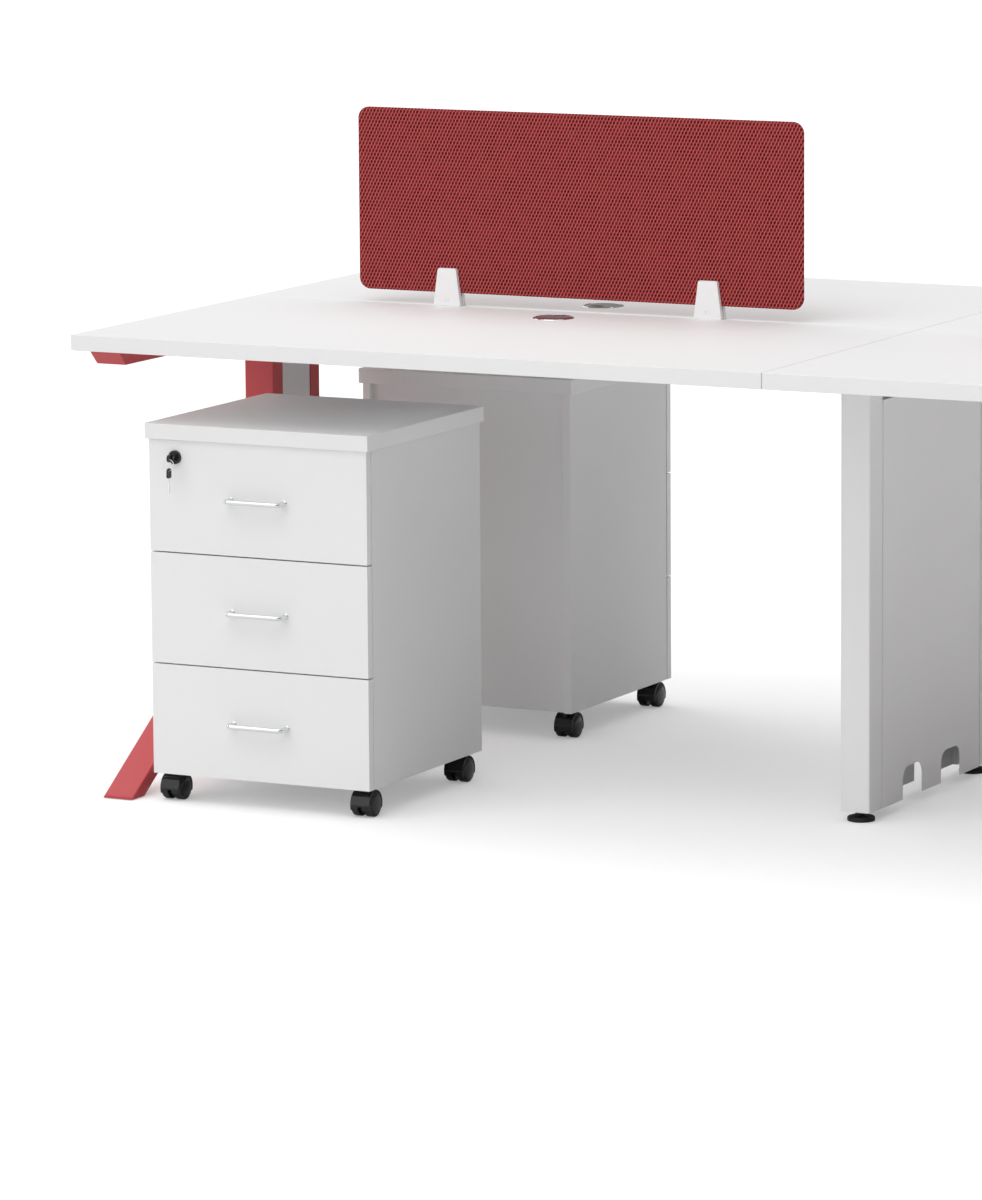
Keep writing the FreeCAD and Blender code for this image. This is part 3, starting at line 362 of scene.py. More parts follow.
# %% Plastics and metals
silver_plastic = grained(
    "extruded_plastic_silver", "E2E0E0", "DCDADA", 2.5, 0.01, 0.34, 0.06, metallic=0.35
)
black_rubber = grained("moulded_rubber_black", "1C1C1D", "242425", 1.2, 0.05, 0.75, 0.1)
black_nylon = grained("moulded_nylon_black", "0A0A0B", "0F0F10", 3.0, 0.012, 0.14, 0.06)
matt_nylon = grained("moulded_nylon_matt", "080809", "0C0C0D", 2.0, 0.02, 0.6, 0.1)
zinc_steel = grained("zinc_plated_steel", "B9BBBD", "A9ACB0", 3.0, 0.01, 0.3, 0.15, metallic=1.0)
chrome = grained("bright_chrome", "E6E7E8", "DEE0E2", 30.0, 0.02, 0.05, 0.05, metallic=1.0)
nickel_silver = grained(
    "stamped_nickel_silver", "F0F0EE", "E9E9E7", 6.0, 0.01, 0.5, 0.08, metallic=1.0
)
satin_nickel = grained("satin_nickel", "C6C2C0", "BCB8B6", 6.0, 0.01, 0.22, 0.06, metallic=1.0)


# %% [markdown]
# The screens are covered with a coarse woven mesh. Its thick red threads leave a hole about every
# 6 mm, and each hole is given a painted shade, a dark red that stands for the shadow inside it.
# Each row is set half a step to the side, and the holes and the lit threads between them lean to
# the right, which draws slanting lines over the whole screen. A painted highlight lightens the
# crest of each thread between the holes. The pattern is worked out from the piece's own
# millimetres: the fraction of the way along each cell says how far a point is from the hole's
# middle.

# %% Woven mesh
WEAVE_ACROSS = 6.1 * MM
WEAVE_UP = 6.0 * MM
WEAVE_LEAN = 0.25


def woven_mesh(name):
    material, tree, place = new_material(name)
    wander = add(tree, "TexNoise", {"Vector": place, "Scale": 60.0, "Detail": 2.0})
    off_centre = add(
        tree, "VectorMath", {0: wander.outputs["Color"], 1: (0.5, 0.5, 0.5)}, operation="SUBTRACT",
    ).outputs["Vector"]
    pushed = add(
        tree, "VectorMath", {0: off_centre, 1: (0.0015, 0.0015, 0.0015), 2: place},
        operation="MULTIPLY_ADD",
    ).outputs["Vector"]
    cells = add(
        tree, "VectorMath", {0: pushed, 1: (1 / WEAVE_ACROSS, 1, 1 / WEAVE_UP)},
        operation="MULTIPLY",
    ).outputs["Vector"]
    split = add(tree, "SeparateXYZ", {"Vector": cells}).outputs
    row = add(tree, "Math", {0: split["Z"]}, operation="FLOOR").outputs[0]
    stepped = add(
        tree, "Math", {0: row, 1: 0.5, 2: split["X"]}, operation="MULTIPLY_ADD"
    ).outputs[0]
    rise = add(tree, "Math", {0: split["Z"]}, operation="FRACT").outputs[0]
    along = add(
        tree, "Math", {0: rise, 1: -WEAVE_LEAN, 2: stepped}, operation="MULTIPLY_ADD"
    ).outputs[0]
    waves = []
    for value in (along, split["Z"]):
        part = add(tree, "Math", {0: value}, operation="FRACT").outputs[0]
        turn = add(tree, "Math", {0: part, 1: math.pi}, operation="MULTIPLY").outputs[0]
        waves.append(add(tree, "Math", {0: turn}, operation="SINE").outputs[0])
    pit = add(tree, "Math", {0: waves[0], 1: waves[1]}, operation="MULTIPLY").outputs[0]
    hole_depth_and_shade = add(
        tree, "MapRange",
        {"Value": wander.outputs["Fac"], "From Min": 0.35, "From Max": 0.65,
         "To Min": 0.6, "To Max": 1.0},
    ).outputs["Result"]
    # The hole mask shapes the bump, and it also lays on the painted shade of the holes, deeper in
    # some holes than in others.
    hole = add(
        tree, "MapRange",
        {"Value": pit, "From Min": 0.33, "From Max": 0.75, "To Min": 0.0, "To Max": hole_depth_and_shade},
        interpolation_type="SMOOTHSTEP",
    ).outputs["Result"]
    # Painted highlight: the crest of each thread between two holes is lightened from 953132 towards
    # CC7273, as if the lamp lit it.
    crest = add(
        tree, "MapRange",
        {"Value": waves[0], "From Min": 0.1, "From Max": 0.6, "To Min": 1.5, "To Max": 0.0},
        interpolation_type="SMOOTHSTEP",
    ).outputs["Result"]
    fibres = add(tree, "TexNoise", {"Vector": place, "Scale": 1400.0, "Detail": 2.0}).outputs["Fac"]
    painted_crest_highlight = add(tree, "Math", {0: crest, 1: fibres}, operation="MULTIPLY").outputs[0]
    thread = add(
        tree, "Mix", {"Factor": painted_crest_highlight, "A": colour("953132"), "B": colour("CC7273")},
        data_type="RGBA",
    )
    # Painted shade: where the holes are, the thread colour gives way to dark red 500002, which
    # stands for the shadow inside each hole.
    both = add(
        tree, "Mix", {"Factor": hole, "A": mixed(thread), "B": colour("500002")}, data_type="RGBA",
    )
    height = add(tree, "Math", {0: fibres, 1: 0.15, 2: hole}, operation="MULTIPLY_ADD").outputs[0]
    bump = add(
        tree, "Bump", {"Height": height, "Distance": 0.6 * MM, "Strength": 1.0}, invert=True,
    ).outputs["Normal"]
    shader = add(
        tree, "BsdfPrincipled",
        {
            "Base Color": mixed(both), "Roughness": 0.85, "Normal": bump, "IOR": 1.45,
            "Specular IOR Level": 0.12, "Sheen Weight": 0.05,
        },
    )
    close_material(tree, shader.outputs["BSDF"])
    return material


red_mesh = woven_mesh("woven_mesh_red")


def paint(piece, *materials):
    """Give a piece its finishes. The first one covers it until faces are given another."""
    piece.data.materials.clear()
    for material in materials:
        piece.data.materials.append(material)


def finish(piece, *materials):
    paint(piece, *materials)
    smooth(piece)


# %% [markdown]
# ## Floor, daylight and background
# The photograph is a product shot on white. The floor is a pale matt plane that keeps the desk's
# soft shadow. Three large lamps light it as soft boxes would: one overhead for the worktops, one in
# front for the drawers, and a low one on the left, which reaches in under the worktops. A dim even
# surround fills the rest. It is brighter in reflections, as a white backdrop is, and it and the
# floor look fully white to the camera alone.

# %% Floor, lamps and surround
FLOOR_SIZE = 60
FLOOR_GLOW = 0.275
SURROUND_LIGHT = 0.145
MIRRORED_SURROUND = 0.27
# Each lamp: where it shines from, its strength and how many degrees wide it looks
LAMPS = {
    "overhead_lamp": ((0, 0, 1), 1.96, 90),
    "front_lamp": ((-0.25, -1, 0.6), 1.3, 75),
    "low_left_lamp": ((-1, 0.35, 0.25), 1.4, 65),
}


def ray_is(tree, kind):
    """One for the camera's own rays or for mirrored ones, and zero for all others."""
    return add(tree, "LightPath", {}).outputs[f"Is {kind} Ray"]


bpy.ops.object.select_all(action="DESELECT")
bpy.ops.mesh.primitive_plane_add(size=FLOOR_SIZE)
floor = settle(bpy.context.object, "floor")
floor_paint, tree, place = new_material("pale_studio_floor")
speck = add(tree, "TexNoise", {"Vector": place, "Scale": 2.0}).outputs["Fac"]
floor_tint = add(
    tree, "Mix", {"Factor": speck, "A": colour("E7E7E7"), "B": colour("E9E9E9")}, data_type="RGBA"
)
matt = add(tree, "BsdfDiffuse", {"Color": mixed(floor_tint)})
glow_strength = add(tree, "Math", {0: ray_is(tree, "Camera"), 1: FLOOR_GLOW}, operation="MULTIPLY")
glow = add(tree, "Emission", {"Strength": glow_strength.outputs[0]})
lit = add(tree, "AddShader", {0: matt.outputs[0], 1: glow.outputs[0]})
close_material(tree, lit.outputs[0])
paint(floor, floor_paint)

world = bpy.data.worlds.new("white_surround")
bpy.context.scene.world = world
world.use_nodes = True
world.node_tree.nodes.clear()
mirrored = add(
    world.node_tree, "MapRange",
    {
        "Value": ray_is(world.node_tree, "Glossy"), "To Min": SURROUND_LIGHT,
        "To Max": MIRRORED_SURROUND,
    },
)
level = add(
    world.node_tree, "MapRange",
    {
        "Value": ray_is(world.node_tree, "Camera"), "To Min": mirrored.outputs["Result"],
        "To Max": 1.0,
    },
)
surround = add(
    world.node_tree, "Background", {"Color": (1, 1, 1, 1), "Strength": level.outputs["Result"]},
)
add(world.node_tree, "OutputWorld", {"Surface": surround.outputs[0]})

for name, (shines_from, strength, width) in LAMPS.items():
    lamp_data = bpy.data.lights.new(name, "SUN")
    lamp_data.energy = strength
    lamp_data.angle = math.radians(width)
    lamp = bpy.data.objects.new(name, lamp_data)
    bpy.context.scene.collection.objects.link(lamp)
    lamp.rotation_euler = Vector(shines_from).to_track_quat("Z", "Y").to_euler()
bpy.context.scene.view_settings.view_transform = "Standard"
print("floor, surround and", len(LAMPS), "lamps are set")

# %% [markdown]
# ## Worktops
# Each worktop is a 25 mm melamine board with a 2 mm ABS band glued round its edges. The band's
# corners are milled to a small radius, which draws a thin highlight along the edge. A cube is
# rounded on all its edges, and a cylinder cuts the hole for the cable grommet.

# %% Model the boards
def banded_board(name, low, high, radius=0.6 * MM):
    """A melamine board with banded, rounded edges. Its two widest faces are melamine."""
    board = block(name, low, high)
    round_edges(board, lambda edge: True, radius, 3)
    sizes = [b - a for a, b in zip(low, high)]
    thin = sizes.index(min(sizes))
    paint(board, melamine, edge_band)
    for face in board.data.polygons:
        face.material_index = 0 if abs(face.normal[thin]) > 0.999 else 1
    smooth(board)
    return board


WORKTOP_RADIUS = 0.7 * MM
GROMMET_HOLE = 30 * MM
GROMMET_SETBACK = 92 * MM
BAY_MIDDLE = 0.6
BAYS = (("left", -BAY_MIDDLE), ("right", BAY_MIDDLE))
ROWS = (("front", -1), ("rear", 1))
for row, row_side in ROWS:
    for bay, middle_x in BAYS:
        node = f"worktop_{row}_{bay}"
        low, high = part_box(node)
        board = banded_board(f"{row}_{bay}_worktop_board", low, high, WORKTOP_RADIUS)
        start = (middle_x, row_side * GROMMET_SETBACK, low[Z] - 5 * MM)
        hole = rod("grommet_cutter", start, Z, GROMMET_HOLE, high[Z] - low[Z] + 10 * MM, 96)
        cut_out(board, hole)
        smooth(board)
        put_away(board, "desk", "white_laminate_board", node)

# %% [markdown]
# ## End frames
# An end frame is welded from an arm, an upright and two slanted feet, and coated red. The arm and
# the feet are rectangular tube, whose rolled corners are about 2.5 mm round. The upright is a
# channel folded from 2 mm sheet with its open side towards the desk, and its open side takes the
# cable cover. A folded sheet is best drawn as a thin strip that is bent round its corners
# first and given its thickness last, as in the press.

# %% Values of the end frames
DESK_UNDERSIDE = 725 * MM
BAR_WIDTH = 54 * MM
BAR_DEPTH = 24 * MM
TUBE_CORNER = 2.5 * MM
SHEET = 2 * MM
COLUMN_DEPTH = 160 * MM
COLUMN_OPENING = 96 * MM
FRAME_X = 1149 * MM
ARM_TIP = 585 * MM
ARM_BOTTOM = DESK_UNDERSIDE - BAR_DEPTH
PAD_THICKNESS = 4 * MM
PAD_PROUD = 1.2 * MM
PAD_POCKET = 3 * MM
FOOT_TIP = 566 * MM
FOOT_ANGLE = math.radians(33)
FOOT_HEEL = FOOT_TIP - BAR_DEPTH / math.sin(FOOT_ANGLE)
COLUMN_FACE = COLUMN_DEPTH / 2
FOOT_TOP = PAD_THICKNESS + (FOOT_TIP - COLUMN_FACE) * math.tan(FOOT_ANGLE)
FOOT_UNDER = PAD_THICKNESS + (FOOT_HEEL - COLUMN_FACE) * math.tan(FOOT_ANGLE)
COLUMN_BOTTOM = FOOT_UNDER - 6 * MM


# %% Shape the arm from a box
def pull(piece, wanted, move):
    """Move the corners that pass a test."""
    choose(piece, "VERT", wanted)
    bpy.ops.transform.translate(value=move)
    back_to_object()


def frame_arm():
    """The tube under the worktops. Its tips are cut back at 45 degrees."""
    half = BAR_WIDTH / 2
    arm = block("frame_arm", (-half, -ARM_TIP, ARM_BOTTOM), (half, ARM_TIP, DESK_UNDERSIDE))
    for side in (-1, 1):
        pull(
            arm, lambda v: v.co[Z] < ARM_BOTTOM + 1 * MM and v.co[Y] * side > 0,
            (0, -side * BAR_DEPTH, 0),
        )
    round_edges(arm, lambda edge: True, 1.6 * MM, 3)
    return arm


# %% [markdown]
# The foot's section is a slanted parallelogram, so its four long edges are set straight onto the
# drawing's points and only then rounded. The open end takes the rubber pad, which stands out only
# a little.

# %% Put the foot's corners where they belong
def tube_foot():
    half = BAR_WIDTH / 2
    foot = block("frame_foot", (-half, -2, 0), (half, -1, 1))
    targets = {
        (-2, 0): (-FOOT_HEEL, PAD_PROUD), (-2, 1): (-FOOT_TIP, PAD_PROUD),
        (-1, 0): (-COLUMN_FACE, FOOT_UNDER), (-1, 1): (-COLUMN_FACE, FOOT_TOP),
    }
    for (y, z), (new_y, new_z) in targets.items():
        pull(
            foot, lambda v: (round(v.co[Y], 6), round(v.co[Z], 6)) == (y, z),
            (0, new_y - y, new_z - z),
        )
    round_edges(
        foot, lambda e: centre(e)[Y] < -COLUMN_FACE - 1 * MM and centre(e)[Z] > PAD_PROUD + 1 * MM,
        TUBE_CORNER, 3,
    )
    choose(foot, "FACE", lambda f: faces(f, Z, -1) and centre(f)[Z] < PAD_PROUD + 1 * MM)
    bpy.ops.mesh.inset(thickness=SHEET)
    extrude((0, 0, PAD_POCKET))
    back_to_object()
    return foot


# %% [markdown]
# The upright starts as one flat strip, its back. Its two long edges are pulled out four times to
# make the flanges and lips, the folds are rounded, and Solidify gives the strip its thickness.
# Solidify grows a sheet to one side of its faces, so the faces have to look outwards first. A
# face that is known to look outwards settles which way round they all are.

# %% Fold the upright
def give_thickness(strip, thickness, looks_out):
    """Make a folded sheet solid, growing inwards from the faces that look out."""
    choose(strip, "FACE", lambda f: True)
    bpy.ops.mesh.normals_make_consistent(inside=False)
    back_to_object()
    if not any(looks_out(face) for face in strip.data.polygons):
        choose(strip, "FACE", lambda f: True)
        bpy.ops.mesh.flip_normals()
        back_to_object()
    sheet = strip.modifiers.new("sheet", "SOLIDIFY")
    sheet.thickness = thickness
    sheet.offset = -1
    sheet.use_even_offset = True
    only(strip)
    bpy.ops.object.modifier_apply(modifier=sheet.name)
    return strip


def folded_column():
    half = BAR_WIDTH / 2
    height = ARM_BOTTOM - COLUMN_BOTTOM
    lip = COLUMN_FACE - COLUMN_OPENING / 2
    bpy.ops.object.select_all(action="DESELECT")
    bpy.ops.mesh.primitive_plane_add(
        size=1, location=(-half, 0, COLUMN_BOTTOM + height / 2), rotation=(0, math.radians(-90), 0),
    )
    strip = bpy.context.object
    strip.scale = (height, COLUMN_DEPTH, 1)
    settle(strip, "folded_column")
    for side in (-1, 1):
        choose(
            strip, "EDGE", lambda e: runs(e, Z) and abs(centre(e)[Y] - side * COLUMN_FACE) < 1 * MM
        )
        extrude((BAR_WIDTH, 0, 0))
        extrude((0, -side * lip, 0))
        back_to_object()
    round_edges(
        strip, lambda e: runs(e, Z) and abs(abs(centre(e)[Y]) - COLUMN_FACE) < 1 * MM, TUBE_CORNER,
        4,
    )
    return give_thickness(strip, SHEET, lambda f: f.normal[X] < -0.999 and f.center[X] < -half / 2)


# %% [markdown]
# The foot is welded to the upright all round. On the sides the weld is ground flush, and above
# and below the foot its bead stays. A bead is a thin bar, cut into slices whose sizes alternate,
# which gives the ripples of the weld pool.

# %% Weld and assemble the frames
BEAD_RADIUS = 2.2 * MM
BEAD_SLICES = 24
BEAD_WAIST = 0.86


def weld_bead(name, y, z):
    half = BAR_WIDTH / 2 - 2 * MM
    bead = rod(name, (-half, y, z), X, BEAD_RADIUS, 2 * half, 10)
    choose(bead, "EDGE", lambda e: runs(e, X))
    bpy.ops.mesh.subdivide(number_cuts=BEAD_SLICES - 1)
    back_to_object()
    step = 2 * half / BEAD_SLICES
    choose(bead, "VERT", lambda v: round((v.co[X] + half) / step) % 2 == 1)
    bpy.ops.transform.resize(value=(1, BEAD_WAIST, BEAD_WAIST), center_override=(0, y, z))
    back_to_object()
    return bead


column = folded_column()
front_foot = tube_foot()
rear_foot = placed(front_foot, "rear_foot", turn=math.pi)
upper_bead = weld_bead("upper_bead", -COLUMN_FACE - 0.4 * MM, FOOT_TOP + 0.2 * MM)
lower_bead = weld_bead("lower_bead", -COLUMN_FACE - 0.4 * MM, FOOT_UNDER - 0.2 * MM)
rear_beads = [placed(bead, "rear_bead", turn=math.pi) for bead in (upper_bead, lower_bead)]
end_frame = join(
    "end_frame", [frame_arm(), column, front_foot, rear_foot, upper_bead, lower_bead, *rear_beads],
)
finish(end_frame, red_coat)
for node, side, turn in (("left_end_frame", -1, 0), ("right_end_frame", 1, math.pi)):
    welded = placed(end_frame, f"{node}_welded", x=side * FRAME_X, turn=turn)
    put_away(welded, "desk", "red_powder_coat", node)
discard(end_frame)

# %% [markdown]
# ## Cable covers and floor pads
# A grey plastic strip snaps behind the upright's lips and hides the cables. It is an extrusion: a
# flat back with the face standing forward of it in the opening, its two long corners rounded. The
# rubber pads under the feet are small rounded slabs, glued on.

# %% Covers
COVER_BACK = BAR_WIDTH / 2 - SHEET - 1.8 * MM
COVER_STEP = BAR_WIDTH / 2 - SHEET - 0.3 * MM
COVER_FACE = BAR_WIDTH / 2 - 1 * MM
COVER_HALF = COLUMN_OPENING / 2 - 0.5 * MM
COVER_LAP = COLUMN_OPENING / 2 + 5 * MM
cover = block(
    "cable_cover", (COVER_BACK, -COVER_LAP, COLUMN_BOTTOM),
    (COVER_STEP, COVER_LAP, ARM_BOTTOM - 0.3 * MM),
)
for side in (-1, 1):
    choose(cover, "FACE", lambda f: True)
    bpy.ops.mesh.bisect(plane_co=(0, side * COVER_HALF, 0), plane_no=(0, 1, 0))
    back_to_object()
choose(cover, "FACE", lambda f: faces(f, X, 1) and abs(centre(f)[Y]) < COVER_HALF)
extrude((COVER_FACE - COVER_STEP, 0, 0))
back_to_object()
round_edges(cover, lambda e: runs(e, Z) and centre(e)[X] > COVER_FACE - 0.1 * MM, 1 * MM, 4)
finish(cover, silver_plastic)
covers = [
    placed(cover, "left_cable_cover", x=-FRAME_X),
    placed(cover, "right_cable_cover", x=FRAME_X, turn=math.pi),
]
for one_cover in covers:
    put_away(one_cover, "desk", "grey_cover_plastic", "column_cable_covers")
discard(cover)

# %% Floor pads
PAD_WIDTH = 44 * MM
PAD_LENGTH = 36 * MM
pad_y = -(FOOT_TIP + FOOT_HEEL) / 2
pad = block(
    "floor_pad", (-PAD_WIDTH / 2, pad_y - PAD_LENGTH / 2, 0),
    (PAD_WIDTH / 2, pad_y + PAD_LENGTH / 2, PAD_THICKNESS),
)
round_edges(pad, lambda e: runs(e, Z), 5 * MM, 4)
round_edges(pad, lambda e: not runs(e, Z), 0.7 * MM, 2)
finish(pad, black_rubber)
for bay, x in (("left", -FRAME_X), ("right", FRAME_X)):
    for row, turn in (("front", 0), ("rear", math.pi)):
        one_pad = placed(pad, f"{bay}_{row}_floor_pad", x=x, turn=turn)
        put_away(one_pad, "desk", "black_pad_rubber", "floor_pads")
discard(pad)

# %% [markdown]
# ## Middle leg
# Two square posts carry a flat tube under the worktops, and four slim beams run from them to the
# end frames. All of it is square steel tube in white powder coat. A tube is a box with its long
# edges rounded. Where its end can be looked into, the end face is inset by the wall's thickness
# and pushed inwards.

# %% Tubes
TUBE_WALL = 2 * MM
POST_CORNER = 3 * MM
OPEN_DEPTH = 60 * MM


def tube(name, low, high, axis, corner, open_ends=False):
    """A rectangular tube along an axis."""
    piece = block(name, low, high)
    round_edges(piece, lambda e: runs(e, axis), corner, 4)
    if open_ends:
        for side in (-1, 1):
            choose(piece, "FACE", lambda f: faces(f, axis, side))
            bpy.ops.mesh.inset(thickness=TUBE_WALL)
            inwards = [0, 0, 0]
            inwards[axis] = -side * OPEN_DEPTH
            extrude(inwards)
            back_to_object()
    finish(piece, white_coat)
    return piece


POST = 50 * MM
POST_FLOOR_GAP = 17 * MM
LEG_HALF = 250 * MM
LEG_ARM_HALF = 410 * MM
arm = tube(
    "middle_leg_arm", (-POST / 2, -LEG_ARM_HALF, ARM_BOTTOM),
    (POST / 2, LEG_ARM_HALF, DESK_UNDERSIDE), Y, 2 * MM, open_ends=True,
)
put_away(arm, "desk", "white_powder_coat", "middle_leg_frame")
for row, side in ROWS:
    near, far = sorted((side * (LEG_HALF - POST), side * LEG_HALF))
    post = tube(
        f"middle_leg_{row}_post", (-POST / 2, near, POST_FLOOR_GAP), (POST / 2, far, ARM_BOTTOM),
        Z, POST_CORNER,
    )
    put_away(post, "desk", "white_powder_coat", "middle_leg_frame")

BEAM_WIDTH = 25 * MM
BEAM_HEIGHT = 50 * MM
beam_y = LEG_HALF - POST / 2
for bay, side in (("left", -1), ("right", 1)):
    near, far = sorted((side * POST / 2, side * (FRAME_X - BAR_WIDTH / 2)))
    for row, y in (("front", -beam_y), ("rear", beam_y)):
        beam = tube(
            f"{bay}_{row}_cross_beam", (near, y - BEAM_WIDTH / 2, DESK_UNDERSIDE - BEAM_HEIGHT),
            (far, y + BEAM_WIDTH / 2, DESK_UNDERSIDE), X, 2 * MM,
        )
        put_away(beam, "desk", "white_powder_coat", "cross_beams")

# %% [markdown]
# Two sheet-metal panels close the leg's sides, 1 mm behind the posts' faces. Each panel is folded
# inwards along its upright edges, which shows as a dark groove beside the post. Two arches at
# the floor let cables through. The panel is folded like the upright of the end frame, and a
# rounded block cuts each arch through both panels at once.

# %% Fold a side panel
PANEL_SHEET = 1.5 * MM
PANEL_X = POST / 2 - 1 * MM
PANEL_GROOVE = 3.5 * MM
PANEL_FOLD = 12 * MM
PANEL_LOW = 16 * MM
PANEL_HIGH = DESK_UNDERSIDE - 63 * MM
PANEL_HALF = LEG_HALF - POST - PANEL_GROOVE
ARCH_HALF = 39 * MM
ARCH_TOP = PANEL_LOW + 51 * MM
ARCH_CORNER = 20 * MM
ARCH_OFFSET = 77 * MM


def folded_panel():
    height = PANEL_HIGH - PANEL_LOW
    bpy.ops.object.select_all(action="DESELECT")
    bpy.ops.mesh.primitive_plane_add(
        size=1, location=(PANEL_X, 0, PANEL_LOW + height / 2), rotation=(0, math.radians(90), 0)
    )
    panel = bpy.context.object
    panel.scale = (height, 2 * PANEL_HALF, 1)
    settle(panel, "folded_panel")
    for side in (-1, 1):
        choose(
            panel, "EDGE", lambda e: runs(e, Z) and abs(centre(e)[Y] - side * PANEL_HALF) < 1 * MM
        )
        extrude((-PANEL_FOLD, 0, 0))
        back_to_object()
    round_edges(panel, lambda e: runs(e, Z) and centre(e)[X] > PANEL_X - 0.1 * MM, 1.5 * MM, 3)
    return give_thickness(panel, PANEL_SHEET, lambda f: f.normal[X] > 0.999)


# %% Cut the arches
right_panel = folded_panel()
left_panel = placed(right_panel, "left_panel", turn=math.pi)
panels = join("middle_leg_panels", [right_panel, left_panel])
for side in (-1, 1):
    middle = side * ARCH_OFFSET
    arch = block(
        "arch_cutter", (-POST, middle - ARCH_HALF, -5 * MM), (POST, middle + ARCH_HALF, ARCH_TOP)
    )
    round_edges(arch, lambda e: runs(e, X) and centre(e)[Z] > ARCH_TOP - 1 * MM, ARCH_CORNER, 10)
    cut_out(panels, arch)
finish(panels, white_coat)
put_away(panels, "desk", "white_powder_coat", "middle_leg_side_plates")

# %% [markdown]
# ## Turned pieces
# Glides, grommets, screw heads, lock and castor wheels are all round. Each is drawn as a turner
# would: a ring is pulled from point to point of the profile, wider or narrower each time. The
# holes left at the ends are filled, or a closed profile's last ring is merged with its first.

# %% A lathe made of extrude and resize
def turned(name, profile, sides=48, closed=False):
    """Pull a ring along a profile of radius and height, in millimetres, about the upright axis."""
    profile = [(radius * MM, height * MM) for radius, height in profile]
    bpy.ops.object.select_all(action="DESELECT")
    radius, height = profile[0]
    bpy.ops.mesh.primitive_circle_add(vertices=sides, radius=radius, location=(0, 0, height))
    piece = settle(bpy.context.object, name)
    choose(piece, "EDGE", lambda e: True)
    for next_radius, next_height in profile[1:]:
        extrude((0, 0, next_height - height))
        grow = next_radius / radius
        bpy.ops.transform.resize(value=(grow, grow, 1), center_override=(0, 0, next_height))
        radius, height = next_radius, next_height
    if closed:
        bpy.ops.mesh.select_all(action="SELECT")
        bpy.ops.mesh.remove_doubles(threshold=0.001 * MM)
    else:
        choose(piece, "EDGE", lambda e: e.is_boundary)
        bpy.ops.mesh.fill_holes(sides=0)
    close_outwards()
    return piece


def lay_along(piece, axis, x=0, y=0, z=0):
    """Turn a piece from the upright axis onto another axis and move it to its place."""
    turns = {X: Matrix.Rotation(math.radians(90), 4, "Y"), Z: Matrix.Identity(4)}
    turns[Y] = Matrix.Rotation(math.radians(-90), 4, "X")
    piece.data.transform(Matrix.Translation((x, y, z)) @ turns[axis])
    return piece


# %% [markdown]
# The levelling glides are flat black discs with softened rims, on a threaded stem with a thin
# lock nut. The worktop screws have low round heads with a driver recess, seen only from below.

# %% Glides and worktop screws
glide = turned(
    "glide_disc",
    [(8, 8.6), (18.5, 8), (20.4, 7.4), (21.7, 6), (22, 4.4), (22, 1.6), (21.2, 0.5), (19.5, 0)],
)
stem = turned("glide_stem", [(5, 7), (5, 20)], sides=16)
nut = turned("glide_nut", [(8.4, 11), (9.4, 11.6), (9.4, 16), (8.4, 16.6)], sides=6)
levelling_glide = join("levelling_glide", [glide, stem, nut])
finish(levelling_glide, matt_nylon)
for row, y in (("front", -beam_y), ("rear", beam_y)):
    put_away(
        placed(levelling_glide, f"{row}_levelling_glide", y=y), "desk", "black_plastic",
        "levelling_glides",
    )
discard(levelling_glide)

SCREW_NEAR = 150 * MM
FRAME_SCREW_FAR = 500 * MM
LEG_SCREW_FAR = 350 * MM
LEG_SCREW_X = 12.5 * MM
head_top = ARM_BOTTOM / MM
screw_head = turned(
    "screw_head", [(5, head_top), (5, head_top - 1.2), (4.2, head_top - 2.4), (2.8, head_top - 3)],
    sides=16,
)
slot = block(
    "recess", (-2 * MM, -0.5 * MM, ARM_BOTTOM - 4 * MM), (2 * MM, 0.5 * MM, ARM_BOTTOM - 1.4 * MM)
)
cross_slot = placed(slot, "cross_recess", turn=math.pi / 2)
cut_out(screw_head, slot)
cut_out(screw_head, cross_slot)
screw_places = []
for side in (-1, 1):
    for row in (-1, 1):
        screw_places.append((side * FRAME_X, row * SCREW_NEAR))
        screw_places.append((side * FRAME_X, row * FRAME_SCREW_FAR))
        screw_places.append((side * LEG_SCREW_X, row * SCREW_NEAR))
        screw_places.append((side * LEG_SCREW_X, row * LEG_SCREW_FAR))
heads = [placed(screw_head, "head", x=x, y=y) for x, y in screw_places]
screws = join("worktop_screw_heads", heads)
finish(screws, zinc_steel)
put_away(screws, "desk", "bare_steel", "worktop_screws")
discard(screw_head)

# %% [markdown]
# ## Screens
# Each screen is a thin board wrapped in the woven mesh. Its four corners are generously round,
# and the fabric turns over the rim in a soft edge, so a cube gets its corners and then its rims
# rounded.

# %% Fabric-covered boards
SCREEN_CORNER = 19 * MM
SCREEN_RIM = 1.8 * MM
for bay in ("left", "right"):
    node = f"{bay}_screen"
    low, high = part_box(node)
    board = block(f"{node}_board", low, high)
    round_edges(board, lambda e: runs(e, Y), SCREEN_CORNER, 12)
    choose(board, "EDGE", lambda e: abs(e.verts[0].co[Y] - e.verts[1].co[Y]) < 0.01 * MM)
    bpy.ops.mesh.bevel(offset=SCREEN_RIM, segments=3, affect="EDGES")
    back_to_object()
    paint(board, red_mesh)
    smooth(board, 50)
    put_away(board, "desk", "red_mesh_fabric", node)

# %% [markdown]
# ## Screen clamps
# A clamp is two white moulded halves, wider at the foot, that grip the screen between them and
# are pulled together by one screw low in the middle. The halves are apart above the slot's floor,
# where the screen goes, and their outer rims are softly rounded.

# %% Clamps
DESK_HEIGHT = 750 * MM
CLAMP_FOOT = 25 * MM
CLAMP_HEAD = 16.5 * MM
CLAMP_HEIGHT = 61.5 * MM
CLAMP_DEPTH = 10 * MM
CLAMP_SLOT_FLOOR = 15 * MM
SCREEN_HALF = 3 * MM
CLAMP_SCREW_Z = 10 * MM
DIMPLE_MM = 4.25

